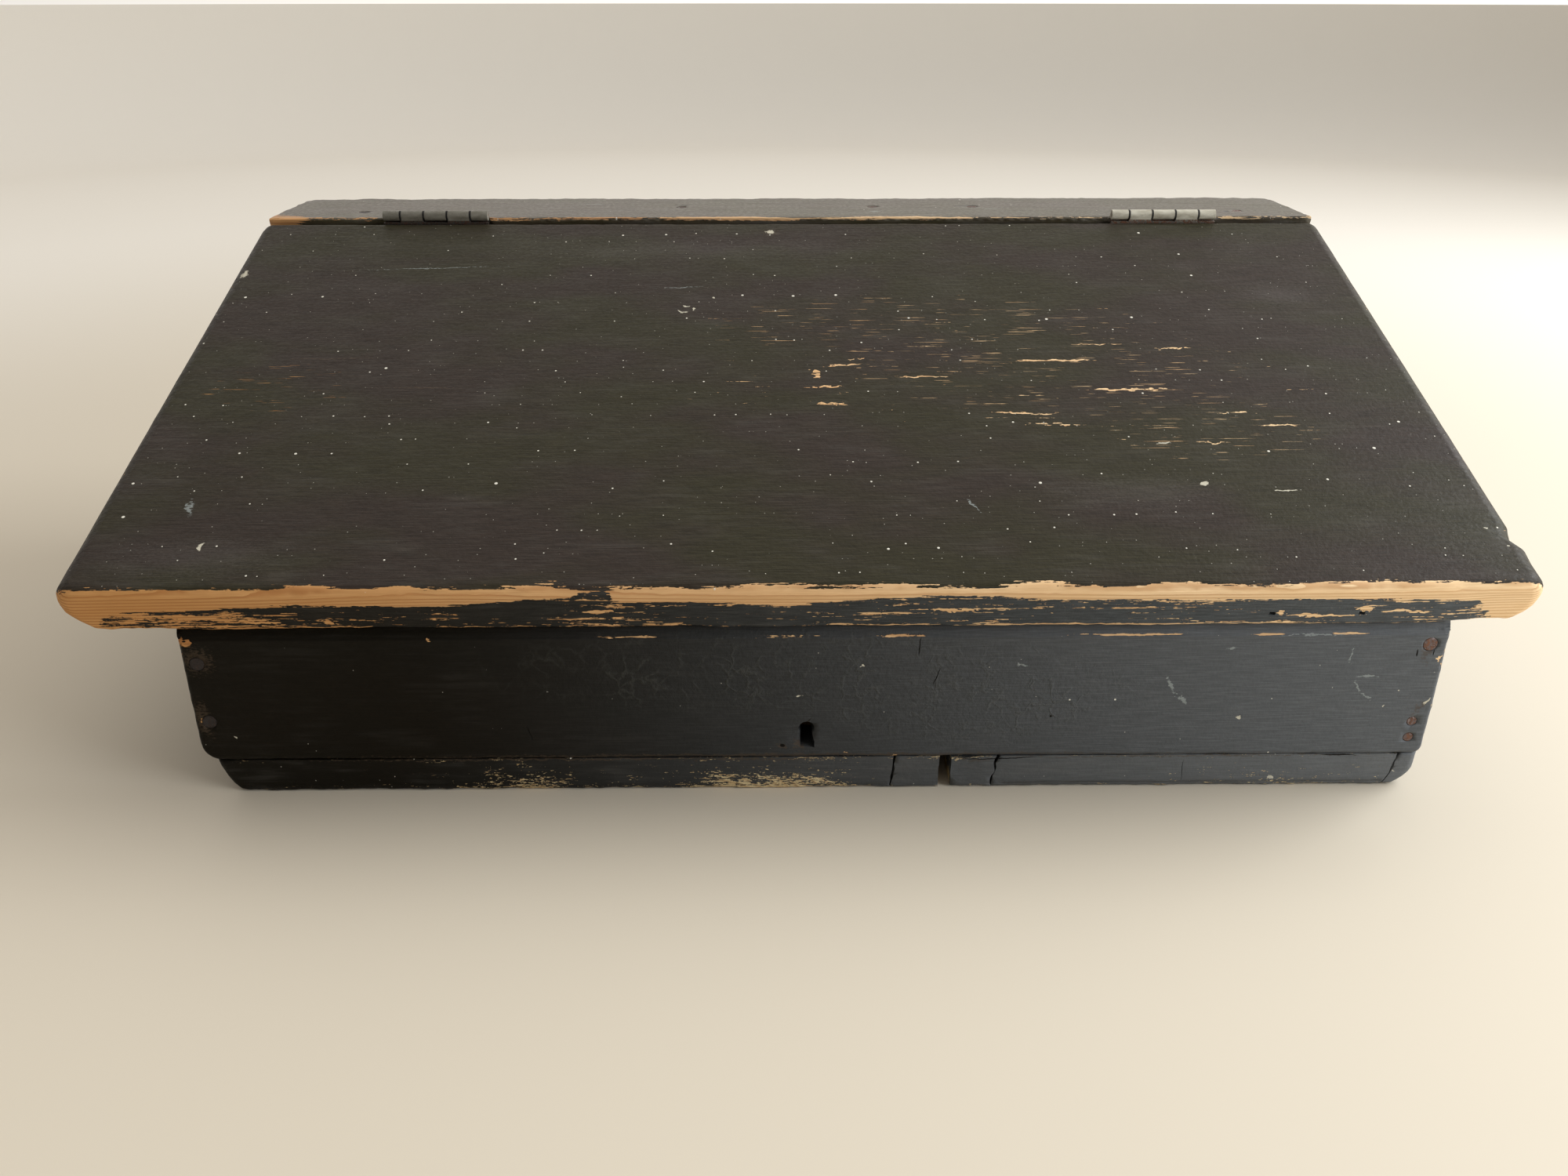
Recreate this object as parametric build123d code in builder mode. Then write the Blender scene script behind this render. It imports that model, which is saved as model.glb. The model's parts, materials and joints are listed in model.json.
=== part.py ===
# A small table desk of painted pine: a box with a low front and a high back, a sloping lid that
# overhangs it, and a fixed ledge behind the lid that carries two iron butt hinges. The boards are
# nailed together with cut nails. Behind the keyhole sits an iron box lock, whose bolt slides
# through the eye of a hasp under the lid.
#
# Millimetres, +Z up, X to the right, -Y towards the person who sits at the desk. The origin is the
# bottom centre of the whole piece.

import os
from math import cos, hypot, radians, sin, sqrt, tan

from build123d import *

os.makedirs("parts", exist_ok=True)

# Lid
lid_width = 600.0
lid_length = 303.0
lid_thickness = 22.0
lid_slope = 19.0
lid_overhang = 9.0  # top front arris of the lid, before the face of the front board
lid_corner_left = 7.0
lid_corner_right = 6.0
lid_corner_back = 4.0
lid_top_arris = 4.5
lid_bottom_arris = 2.0
seat_gap = 0.3  # between the lid and the boards that it lies on

# Case
overhang_left = 40.0  # the lid and the ledge, past the sides
overhang_right = 28.0
overhang_back = 26.5  # the ledge, past the back board
front_height = 65.0
front_thickness = 20.0
side_thickness = 18.0
back_thickness = 20.0
front_bevel_height = 6.2
front_bevel_depth = 5.0
front_corner_left = 8.0
front_corner_right = 4.0
board_arris = 2.5

# Bottom boards
base_thickness = 16.5
base_inset_left = 4.0
base_inset_right = 0.5
base_inset_front = 1.0
base_corner = 5.0
base_arris = 2.2
base_joint_offset = 209.0  # from the right side to the middle of the gap
base_joint_gap = 5.5  # the boards have shrunk apart
crack_width = 0.9
crack_tip_width = 0.2
crack_places = ((232.0, 1.6, 64.0), (187.5, 3.0, 48.0), (11.2, 2.6, 36.0))  # from right, lean, depth

# Ledge
ledge_depth = 75.0
ledge_thickness = 20.0
ledge_corner = 9.0
ledge_arris = 1.0

# Hinges
hinge_length = 59.4
hinge_inset = {"left": 66.8, "right": 57.3}  # from the end of the lid
hinge_end_knuckle = 9.7
knuckle_count = 5
knuckle_radius = 2.7
knuckle_gap = 0.3
pin_radius = 1.3
pin_clearance = 0.05
pin_chamfer = 0.3
leaf_thickness = 1.2
leaf_width = 20.0  # from the pin's axis to the free edge of the leaf
mortise_clearance = 0.15
barrel_clearance = 0.5
axis_rise = 3.0  # pin's axis above the top of the lid
ledge_drop = 1.5  # top of the ledge below the pin's axis
hinge_screw_pitch = 21.0
hinge_screw_row = 12.5  # from the pin's axis

# Wood screws
screw_head_radius = 2.8
screw_shank_radius = 1.4
screw_head_depth = 1.5
screw_length = 14.0
screw_tip = 3.5
screw_tip_radius = 0.3
screw_slot_width = 0.7
screw_slot_depth = 0.6

# Cut nails
nail_head_radius = 3.2
small_head_radius = 2.3
nail_head_thickness = 1.1
nail_head_bevel = 0.4
nail_shank = 2.8
nail_point = 1.2
nail_length = 42.0
hole_clearance = 0.05  # around nails and screws
hole_mouth = 1.0  # the holes start this far above the heads
base_nail_sink = 0.4
front_nail_inset = {"left": 6.5, "right": 8.0}  # from the end of the front board
large_nail_drops = {"left": (17.0, 45.0), "right": (10.5,)}  # below the top of the front board
small_nail_drops = {"left": (), "right": (48.0, 56.0)}
back_nail_inset = 9.0
back_nail_rises = (22.0, 80.0, 138.0)  # above the bottom boards
ledge_nail_offsets = (-72.0, 43.0, 103.0)  # along the back board, from its middle
base_nail_pitch = 108.0  # along the front and back boards, from the middle
base_side_pitch = 85.0  # along the sides, from the middle

# Old nail holes in the front edge of the lid
stray_hole_places = (107.0, 70.0)  # from the right end of the lid
stray_hole_depth = 7.0
stray_hole_width = 2.6
stray_hole_height = 1.8
stray_hole_drop = 15.0  # below the top of the lid

# Keyhole
keyhole_offset = -4.0  # from the middle of the front board
keyhole_rise = 15.1  # its round part, above the bottom boards
keyhole_radius = 3.4
keyhole_slot = 5.0
keyhole_drop = 9.1
keyhole_step = 0.3  # the plate's keyhole is smaller all round

# Lock
lock_plate_thickness = 1.6
lock_plate_lift = 1.6  # above the bottom boards
lock_plate_drop = 3.0  # below the inner top edge of the front board
lock_plate_margin = 1.5
lock_case_wall = 1.4
lock_case_margin = 0.8
lock_ear_width = 7.0
lock_ear_height = 10.0
rivet_radius = 1.2
rivet_head_radius = 2.2
rivet_head_height = 0.9
rivet_head_taper = 20
lock_nail_inset = 4.5
lock_nail_length = 13.0
lock_clearance = 0.5
key_swing = 10.5  # radius of the key's bit
key_post_radius = 1.2
key_post_setback = 3.0  # behind the plate

# Bolt of the lock
bolt_length = 27.0
bolt_throw = 9.0
bolt_height = 5.0
bolt_thickness = 3.2
bolt_plate_reach = 6.7  # of the bolt's plate, past the tip
talon_width = 6.0
talon_depth = 5.0
talon_bite = 4.0  # of the key's bit, in the talon
stud_radius = 1.5
stud_collar_radius = 2.6
stud_head_height = 0.8
stud_pitch = 12.0
stud_setback = 5.5  # from the middle of the lock
slide_clearance = 0.3
spring_thickness = 0.5
spring_width = 2.6
spring_foot = 2.5

# Hasp under the lid
hasp_plate_width = 44.0
hasp_plate_length = 15.0
hasp_plate_thickness = 2.0
hasp_plate_lead = 1.5
hasp_thickness = 3.0
hasp_length = 22.0
hasp_wall = 1.8  # around the eye
hasp_tip_round = 2.0
hasp_swing_clearance = 0.6  # to the lock's plate, as the lid opens
hasp_gap = 1.2  # to the tip of the bolt
hasp_side_clearance = 1.0
hasp_screw_pitch = 32.0
eye_clearance = 0.6

# Directions of the lid
slope_sin = sin(radians(lid_slope))
slope_cos = cos(radians(lid_slope))
slope_tan = tan(radians(lid_slope))
up_slope = Vector(0, slope_cos, slope_sin)
off_lid = Vector(0, -slope_sin, slope_cos)

# Lengths from front to back, counted from the lid's top front arris
leaf_face = knuckle_radius - leaf_thickness  # inner face of a leaf, from the pin's axis
hinge_run = (lid_length + leaf_face) * slope_cos - axis_rise * slope_sin
ledge_run = hinge_run + leaf_face / slope_cos + ledge_drop * slope_tan
rounded_off = lid_top_arris * (slope_sin + slope_cos - 1)  # what the arris takes off the reach
whole_depth = ledge_run + ledge_depth - rounded_off

# Places
lid_front_y = -whole_depth / 2 - rounded_off
front_face = lid_front_y + lid_overhang
front_back = front_face + front_thickness
ledge_back = whole_depth / 2
back_face = ledge_back - overhang_back
back_front = back_face - back_thickness
body_left = -lid_width / 2 + overhang_left
body_right = lid_width / 2 - overhang_right
body_width = body_right - body_left
body_middle = (body_left + body_right) / 2
floor_z = base_thickness
seat_z = floor_z + front_height  # seat of the lid, at the face of the front board
lid_foot = lid_overhang - lid_thickness * slope_sin  # the lid's lower front arris, before the face
lid_front_z = seat_z + (seat_gap / slope_cos - lid_foot * slope_tan) + lid_thickness * slope_cos

lid_plane = Plane(origin=(0, lid_front_y, lid_front_z), x_dir=(1, 0, 0), z_dir=off_lid)
hinge_u = lid_length + leaf_face
hinge_point = lid_plane.from_local_coords(Vector(0, hinge_u, axis_rise))
hinge_centres = {
    "left": -lid_width / 2 + hinge_inset["left"] + hinge_length / 2,
    "right": lid_width / 2 - hinge_inset["right"] - hinge_length / 2,
}
ledge_top = hinge_point.Z - ledge_drop
ledge_bottom = ledge_top - ledge_thickness
slope_end = front_face + (ledge_bottom - seat_z) / slope_tan  # where the sides run level


def seat_height(y):
    """Height of the sloping seat of the lid."""
    return seat_z + (y - front_face) * slope_tan


def ledge_face_y(z):
    """The ledge's front face stands square to the lid."""
    return lid_front_y + ledge_run + (ledge_top - z) * slope_tan


def facing(x, y, z, direction):
    """A plane whose normal looks along a direction and whose x axis runs along the desk."""
    return Plane(origin=(x, y, z), x_dir=(1, 0, 0), z_dir=direction)


def on_lid(x, u, v, direction):
    """The same, at a place on the lid: along it, up its slope and off its top."""
    return Plane(
        origin=lid_plane.from_local_coords(Vector(x, u, v)), x_dir=(1, 0, 0), z_dir=direction
    )


def save(part, name):
    part.label = name
    export_step(part, f"parts/{name}.step")


# Fasteners, driven down -Z from their heads at the origin. With a clearance they are the holes.
def cut_nail(head, length, clearance=0.0):
    with BuildPart() as nail:
        with BuildSketch():
            Circle(head - nail_head_bevel + 2 * clearance)
        with BuildSketch(Plane.XY.offset(-nail_head_bevel)):
            Circle(head + clearance)
        loft()
        with BuildSketch(Plane.XY.offset(-nail_head_bevel)):
            Circle(head + clearance)
        extrude(amount=-(nail_head_thickness - nail_head_bevel + clearance))
        with BuildSketch(Plane.XY.offset(-nail_head_thickness)):
            Rectangle(nail_shank + 2 * clearance, nail_shank + 2 * clearance)
        with BuildSketch(Plane.XY.offset(-length - clearance)):
            Rectangle(nail_point + 2 * clearance, nail_point + 2 * clearance)
        loft()
        if clearance:
            with BuildSketch(Plane.XY.offset(-nail_head_bevel)):
                Circle(head + clearance)
            extrude(amount=hole_mouth)
    return nail.part


def wood_screw(clearance=0.0):
    with BuildPart() as screw:
        with BuildSketch(Plane.XY.offset(clearance)):
            Circle(screw_head_radius + clearance)
        with BuildSketch(Plane.XY.offset(-screw_head_depth)):
            Circle(screw_shank_radius + clearance)
        loft()
        with BuildSketch(Plane.XY.offset(-screw_head_depth)):
            Circle(screw_shank_radius + clearance)
        extrude(amount=-(screw_length - screw_tip - screw_head_depth))
        with BuildSketch(Plane.XY.offset(screw_tip - screw_length)):
            Circle(screw_shank_radius + clearance)
        with BuildSketch(Plane.XY.offset(-screw_length - clearance)):
            Circle(screw_tip_radius + clearance)
        loft()
        if not clearance:
            with BuildSketch():
                Rectangle(screw_slot_width, 3 * screw_head_radius)
            extrude(amount=-screw_slot_depth, mode=Mode.SUBTRACT)
    return screw.part


large_nail = cut_nail(nail_head_radius, nail_length)
large_nail_hole = cut_nail(nail_head_radius, nail_length, hole_clearance)
small_nail = cut_nail(small_head_radius, nail_length)
small_nail_hole = cut_nail(small_head_radius, nail_length, hole_clearance)
lock_nail = cut_nail(small_head_radius, lock_nail_length)
lock_nail_hole = cut_nail(small_head_radius, lock_nail_length, hole_clearance)
screw = wood_screw()
screw_hole = wood_screw(hole_clearance)


def drive(fastener, places):
    """Copies of a fastener at each place."""
    with BuildPart() as group:
        with Locations(*places):
            add(fastener)
    return group.part


# Where the nails of the case go
def front_nail_places(side, drops):
    inset = front_nail_inset[side]
    x = body_left + inset if side == "left" else body_right - inset
    return [facing(x, front_face, seat_z - drop, (0, -1, 0)) for drop in drops[side]]


def back_nail_places(side):
    x = body_left + back_nail_inset if side == "left" else body_right - back_nail_inset
    return [facing(x, back_face, floor_z + rise, (0, 1, 0)) for rise in back_nail_rises]


side_middles = {"left": body_left + side_thickness / 2, "right": body_right - side_thickness / 2}
front_middle_y = front_face + front_thickness / 2
back_middle_y = back_face - back_thickness / 2
side_middle_y = (front_back + back_front) / 2


def ledge_nail_place(side):
    return facing(side_middles[side], (slope_end + back_front) / 2, ledge_top, (0, 0, 1))


ledge_back_places = [
    facing(body_middle + offset, back_middle_y, ledge_top, (0, 0, 1))
    for offset in ledge_nail_offsets
]


def base_rows(side):
    """Nails under one bottom board: into the front, into the back and into the side."""
    steps = (-2, -1) if side == "left" else (1, 2)
    across = [body_middle + step * base_nail_pitch for step in steps]
    if side == "left":
        across.append(body_middle)
    along = [side_middle_y + step * base_side_pitch for step in (-1, 0, 1)]
    return {
        "front": [facing(x, front_middle_y, base_nail_sink, (0, 0, -1)) for x in across],
        "back": [facing(x, back_middle_y, base_nail_sink, (0, 0, -1)) for x in across],
        "side": [facing(side_middles[side], y, base_nail_sink, (0, 0, -1)) for y in along],
    }


base_nails = {side: base_rows(side) for side in ("left", "right")}


def leaf_screw_places(centre, side):
    """side is -1 for the leaf on the lid and 1 for the leaf on the ledge."""
    return [
        on_lid(
            centre + step * hinge_screw_pitch,
            hinge_u + side * leaf_face,
            axis_rise - hinge_screw_row,
            up_slope * -side,
        )
        for step in (-1, 0, 1)
    ]


# The hasp hangs as far forward as its swing past the lock's plate allows
plate_back = front_back + lock_plate_thickness
plate_high = seat_height(front_back) - lock_plate_drop
plate_low = floor_z + lock_plate_lift
swing_radius = hypot(hinge_point.Y - plate_back, hinge_point.Z - plate_high) - hasp_swing_clearance
hasp_tip_v = -lid_thickness - hasp_length
hasp_u = hinge_u - sqrt(swing_radius**2 - (axis_rise - hasp_tip_v) ** 2)
eye_width = bolt_thickness * slope_cos + bolt_height * slope_sin + 2 * eye_clearance
eye_height = bolt_height * slope_cos + bolt_thickness * slope_sin + 2 * eye_clearance
hasp_width = eye_width + 2 * hasp_wall
eye_u = hasp_u + hasp_width / 2
eye_v = hasp_tip_v + hasp_wall + eye_height / 2
lock_x = body_middle + keyhole_offset
eye = lid_plane.from_local_coords(Vector(lock_x, eye_u, eye_v))
hasp_tip = lid_plane.from_local_coords(Vector(lock_x, hasp_u, hasp_tip_v))
hasp_heel = lid_plane.from_local_coords(Vector(lock_x, hasp_u + hasp_width, hasp_tip_v))
hasp_screw_places = [
    on_lid(
        lock_x + x,
        hasp_u - hasp_plate_lead + hasp_plate_length / 2,
        -lid_thickness - hasp_plate_thickness,
        off_lid * -1,
    )
    for x in (-hasp_screw_pitch / 2, hasp_screw_pitch / 2)
]

# Sizes of the lock that follow from the hasp and the bolt
key_z = floor_z + keyhole_rise
bolt_tip = lock_x - hasp_thickness / 2 - hasp_gap
bolt_left = bolt_tip - bolt_length
lock_case_width = 2 * (lock_x - bolt_left + lock_clearance + lock_case_wall)
lock_case_depth = hasp_heel.Y + lock_clearance - plate_back + lock_case_wall
case_back = plate_back + lock_case_depth
case_low = plate_low + lock_case_margin
case_high = plate_high - lock_case_margin
lock_plate_width = lock_case_width + 2 * (lock_ear_width + lock_plate_margin)
plate_middle_z = (plate_low + plate_high) / 2
rivet_places = [
    facing(
        lock_x + turn * (lock_case_width + lock_ear_width) / 2,
        plate_back + lock_case_wall,
        plate_middle_z,
        (0, 1, 0),
    )
    for turn in (-1, 1)
]
lock_nail_places = [
    facing(lock_x + x, plate_back + nail_head_thickness, z, (0, 1, 0))
    for x in (lock_nail_inset - lock_plate_width / 2, lock_plate_width / 2 - lock_nail_inset)
    for z in (plate_low + lock_nail_inset, plate_high - lock_nail_inset)
]


def board(outline, left, width):
    """A board whose outline, seen from the side as (y, z) points, runs along the desk."""
    with BuildPart() as made:
        with BuildSketch(Plane.YZ.offset(left)):
            with BuildLine():
                Polyline(*outline, close=True)
            make_face()
        extrude(amount=width)
    return made.part


# The lid is one wide board, let in at the back edge for the hinges
with BuildPart() as lid_board:
    with BuildSketch(lid_plane) as lid_outline:
        with Locations((0, lid_length / 2)):
            Rectangle(lid_width, lid_length)
        fillet(lid_outline.vertices().group_by(Axis.Y)[-1], radius=lid_corner_back)
        front_corners = lid_outline.vertices().group_by(Axis.Y)[0].sort_by(Axis.X)
        fillet(front_corners[0], radius=lid_corner_left)
        front_corners = lid_outline.vertices().group_by(Axis.Y)[0].sort_by(Axis.X)
        fillet(front_corners[-1], radius=lid_corner_right)
    extrude(amount=-lid_thickness)
    along_normal = Axis((0, 0, 0), off_lid)
    top_rim = lid_board.faces().sort_by(along_normal)[-1].outer_wire().edges()
    fillet(top_rim.sort_by(Axis.Y)[:-1], radius=lid_top_arris)
    low_rim = lid_board.faces().sort_by(along_normal)[0].outer_wire().edges()
    fillet(low_rim.sort_by(Axis.Y)[:-1], radius=lid_bottom_arris)
    for centre in hinge_centres.values():
        with BuildSketch(on_lid(centre, lid_length, axis_rise - leaf_width / 2, up_slope)):
            Rectangle(hinge_length + 2 * mortise_clearance, leaf_width + 2 * mortise_clearance)
        extrude(amount=-(leaf_thickness + mortise_clearance), mode=Mode.SUBTRACT)
        with Locations(*leaf_screw_places(centre, -1)):
            add(screw_hole, mode=Mode.SUBTRACT)
    with Locations(*hasp_screw_places):
        add(screw_hole, mode=Mode.SUBTRACT)
    for place in stray_hole_places:
        with BuildSketch(on_lid(lid_width / 2 - place, 0, -stray_hole_drop, up_slope)):
            Rectangle(stray_hole_width, stray_hole_height)
        extrude(amount=stray_hole_depth, mode=Mode.SUBTRACT)
save(lid_board.part, "lid_board")

# The ledge behind the lid is nailed down on the sides and the back
ledge_outline = [
    (ledge_face_y(ledge_top), ledge_top),
    (ledge_face_y(ledge_bottom), ledge_bottom),
    (ledge_back, ledge_bottom),
    (ledge_back, ledge_top),
]
ledge_blank = board(ledge_outline, -lid_width / 2, lid_width)
with BuildPart() as ledge_board:
    add(ledge_blank)
    fillet(ledge_board.edges().filter_by(Axis.Z), radius=ledge_corner)
    fillet(ledge_board.faces().sort_by(Axis.Z)[-1].outer_wire().edges(), radius=ledge_arris)
    for centre in hinge_centres.values():
        with BuildSketch(
            on_lid(centre, hinge_u + leaf_face, axis_rise - leaf_width / 2, up_slope)
        ):
            Rectangle(hinge_length + 2 * mortise_clearance, leaf_width + 2 * mortise_clearance)
        extrude(amount=leaf_thickness + mortise_clearance, mode=Mode.SUBTRACT)
        with BuildSketch(
            Plane(origin=hinge_point + Vector(centre, 0, 0), x_dir=up_slope, z_dir=(1, 0, 0))
        ):
            Circle(knuckle_radius + barrel_clearance)
        extrude(amount=hinge_length / 2 + mortise_clearance, both=True, mode=Mode.SUBTRACT)
        with Locations(*leaf_screw_places(centre, 1)):
            add(screw_hole, mode=Mode.SUBTRACT)
    with Locations(*ledge_back_places, ledge_nail_place("left"), ledge_nail_place("right")):
        add(large_nail_hole, mode=Mode.SUBTRACT)
save(ledge_board.part, "ledge_board")

# The front board is bevelled where the lid closes on it, and pierced by the keyhole
front_outline = [
    (front_face, floor_z),
    (front_face, seat_z - front_bevel_height),
    (front_face + front_bevel_depth, seat_height(front_face + front_bevel_depth)),
    (front_back, seat_height(front_back)),
    (front_back, floor_z),
]
front_blank = board(front_outline, body_left, body_width)
with BuildPart() as front_board:
    add(front_blank)
    low_corners = front_board.edges().filter_by(Axis.Y).group_by(Axis.Z)[0].sort_by(Axis.X)
    fillet(low_corners[0], radius=front_corner_left)
    low_corners = front_board.edges().filter_by(Axis.Y).group_by(Axis.Z)[0].sort_by(Axis.X)
    fillet(low_corners[-1], radius=front_corner_right)
    face_rim = front_board.faces().sort_by(Axis.Y)[0].outer_wire().edges()
    fillet(face_rim.sort_by(Axis.Z)[:-1], radius=board_arris)
    with BuildSketch(facing(lock_x, front_face, key_z, (0, -1, 0))):
        Circle(keyhole_radius)
        with Locations((0, -keyhole_drop / 2)):
            Rectangle(keyhole_slot, keyhole_drop)
    extrude(amount=-front_thickness, mode=Mode.SUBTRACT)
    for side in ("left", "right"):
        with Locations(*front_nail_places(side, large_nail_drops), *base_nails[side]["front"]):
            add(large_nail_hole, mode=Mode.SUBTRACT)
    with Locations(*front_nail_places("right", small_nail_drops)):
        add(small_nail_hole, mode=Mode.SUBTRACT)
    with Locations(*lock_nail_places):
        add(lock_nail_hole, mode=Mode.SUBTRACT)
save(front_board.part, "front_board")

# The back board stands under the ledge and covers the ends of the sides
back_outline = [
    (back_front, floor_z),
    (back_front, ledge_bottom),
    (back_face, ledge_bottom),
    (back_face, floor_z),
]
back_blank = board(back_outline, body_left, body_width)
with BuildPart() as back_board:
    add(back_blank)
    fillet(back_board.edges().filter_by(Axis.Z).group_by(Axis.Y)[-1], radius=board_arris)
    for side in ("left", "right"):
        with Locations(*back_nail_places(side), *base_nails[side]["back"]):
            add(large_nail_hole, mode=Mode.SUBTRACT)
    with Locations(*ledge_back_places):
        add(large_nail_hole, mode=Mode.SUBTRACT)
save(back_board.part, "back_board")

# The sides carry the slope of the lid and run level under the ledge
side_outline = [
    (front_back, floor_z),
    (front_back, seat_height(front_back)),
    (slope_end, ledge_bottom),
    (back_front, ledge_bottom),
    (back_front, floor_z),
]
for side in ("left", "right"):
    blank = board(side_outline, side_middles[side] - side_thickness / 2, side_thickness)
    with BuildPart() as side_board:
        add(blank)
        with Locations(
            *front_nail_places(side, large_nail_drops),
            *back_nail_places(side),
            *base_nails[side]["side"],
            ledge_nail_place(side),
        ):
            add(large_nail_hole, mode=Mode.SUBTRACT)
        if small_nail_drops[side]:
            with Locations(*front_nail_places(side, small_nail_drops)):
                add(small_nail_hole, mode=Mode.SUBTRACT)
    save(side_board.part, f"{side}_side_board")

# The two bottom boards run from front to back. They have shrunk apart and split at the front.
base_joint_x = body_right - base_joint_offset
base_front = front_face + base_inset_front
base_spans = {
    "left": (body_left + base_inset_left, base_joint_x - base_joint_gap / 2),
    "right": (base_joint_x + base_joint_gap / 2, body_right - base_inset_right),
}


def crack_outline(x, lean, width):
    return [
        (x - (width + lean) / 2, 0),
        (x - (width - lean) / 2, base_thickness),
        (x + (width + lean) / 2, base_thickness),
        (x + (width - lean) / 2, 0),
    ]


for side, (x0, x1) in base_spans.items():
    with BuildPart() as base_board:
        with BuildSketch() as base_outline:
            with Locations(((x0 + x1) / 2, (base_front + back_face) / 2)):
                Rectangle(x1 - x0, back_face - base_front)
            outer = base_outline.vertices().group_by(Axis.X)[0 if side == "left" else -1]
            fillet(outer, radius=base_corner)
        extrude(amount=base_thickness)
        low_rim = base_board.faces().sort_by(Axis.Z)[0].outer_wire().edges()
        straight_in_gap = low_rim.filter_by(GeomType.LINE).sort_by(Axis.X)
        joint_edge = straight_in_gap[-1] if side == "left" else straight_in_gap[0]
        fillet([edge for edge in low_rim if edge != joint_edge], radius=base_arris)
        for offset, lean, depth in crack_places:
            x = body_right - offset
            if x0 < x < x1:
                for y, width in ((base_front, crack_width), (base_front + depth, crack_tip_width)):
                    with BuildSketch(Plane.XZ.offset(-y)):
                        with BuildLine():
                            Polyline(*crack_outline(x, lean, width), close=True)
                        make_face()
                loft(mode=Mode.SUBTRACT)
        with Locations(*[place for row in base_nails[side].values() for place in row]):
            add(large_nail_hole, mode=Mode.SUBTRACT)
    save(base_board.part, f"{side}_base_board")
    save(
        drive(large_nail, [place for row in base_nails[side].values() for place in row]),
        f"{side}_base_nails",
    )

# Nails of the case
save(drive(large_nail, front_nail_places("left", large_nail_drops)), "left_front_nails")
with BuildPart() as right_front_nails:
    with Locations(*front_nail_places("right", large_nail_drops)):
        add(large_nail)
    with Locations(*front_nail_places("right", small_nail_drops)):
        add(small_nail)
save(right_front_nails.part, "right_front_nails")
for side in ("left", "right"):
    save(drive(large_nail, back_nail_places(side)), f"{side}_back_nails")
save(
    drive(
        large_nail, [*ledge_back_places, ledge_nail_place("left"), ledge_nail_place("right")]
    ),
    "ledge_nails",
)

# Hinges: the leaf on the ledge has three knuckles and the leaf on the lid has two
inner_knuckle = (hinge_length - 2 * hinge_end_knuckle) / (knuckle_count - 2)
plate_top = knuckle_radius + knuckle_gap


def knuckle_span(k):
    """Start and end of one of the knuckles, from the hinge's left end."""
    steps = range(knuckle_count - 1)
    bounds = [0, *[hinge_end_knuckle + inner_knuckle * step for step in steps], hinge_length]
    start = bounds[k] + (knuckle_gap / 2 if k > 0 else 0)
    end = bounds[k + 1] - (knuckle_gap / 2 if k < knuckle_count - 1 else 0)
    return start, end


def hinge_leaf(centre, side):
    """side is -1 for the leaf on the lid and 1 for the leaf on the ledge."""
    plate_v = axis_rise - (leaf_width + plate_top) / 2
    with BuildPart() as leaf:
        with BuildSketch(on_lid(centre, hinge_u + side * leaf_face, plate_v, up_slope * side)):
            Rectangle(hinge_length, leaf_width - plate_top)
        extrude(amount=leaf_thickness)
        for k in range(0 if side == 1 else 1, knuckle_count, 2):
            start, end = knuckle_span(k)
            left = hinge_point + Vector(centre - hinge_length / 2 + start, 0, 0)
            with BuildSketch(Plane(origin=left, x_dir=up_slope, z_dir=(1, 0, 0))):
                Circle(knuckle_radius)
                with Locations((side * (leaf_face + leaf_thickness / 2), -plate_top / 2)):
                    Rectangle(leaf_thickness, plate_top)
                Circle(pin_radius + pin_clearance, mode=Mode.SUBTRACT)
            extrude(amount=end - start)
        with Locations(*leaf_screw_places(centre, side)):
            add(screw_hole, mode=Mode.SUBTRACT)
    return leaf.part


for side, centre in hinge_centres.items():
    save(hinge_leaf(centre, -1), f"{side}_hinge_lid_leaf")
    save(hinge_leaf(centre, 1), f"{side}_hinge_ledge_leaf")
    save(drive(screw, leaf_screw_places(centre, -1)), f"{side}_hinge_lid_screws")
    save(drive(screw, leaf_screw_places(centre, 1)), f"{side}_hinge_ledge_screws")
    pin_middle = hinge_point + Vector(centre, 0, 0)
    with BuildPart() as pin:
        with BuildSketch(Plane(origin=pin_middle, x_dir=up_slope, z_dir=(1, 0, 0))):
            Circle(pin_radius)
        extrude(amount=hinge_length / 2, both=True)
        chamfer(pin.edges().filter_by(GeomType.CIRCLE), length=pin_chamfer)
    save(pin.part, f"{side}_hinge_pin")

# The hasp hangs from a plate that is screwed under the lid, and the bolt enters its eye
with BuildPart() as lock_hasp:
    plate_u = hasp_u - hasp_plate_lead + hasp_plate_length / 2
    with BuildSketch(on_lid(lock_x, plate_u, -lid_thickness, off_lid)):
        Rectangle(hasp_plate_width, hasp_plate_length)
    extrude(amount=-hasp_plate_thickness)
    hasp_side = Plane(
        origin=lid_plane.from_local_coords(Vector(lock_x, hasp_u, -lid_thickness)),
        x_dir=up_slope,
        z_dir=(1, 0, 0),
    )
    with BuildSketch(hasp_side) as tongue:
        with Locations((hasp_width / 2, -hasp_length / 2)):
            Rectangle(hasp_width, hasp_length)
        fillet(tongue.vertices().group_by(Axis.Y)[0], radius=hasp_tip_round)
        with Locations((hasp_width / 2, hasp_wall + eye_height / 2 - hasp_length)):
            Rectangle(eye_width, eye_height, mode=Mode.SUBTRACT)
    extrude(amount=hasp_thickness / 2, both=True)
    with Locations(*hasp_screw_places):
        add(screw_hole, mode=Mode.SUBTRACT)
save(lock_hasp.part, "lock_hasp")
save(drive(screw, hasp_screw_places), "lock_hasp_screws")

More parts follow.
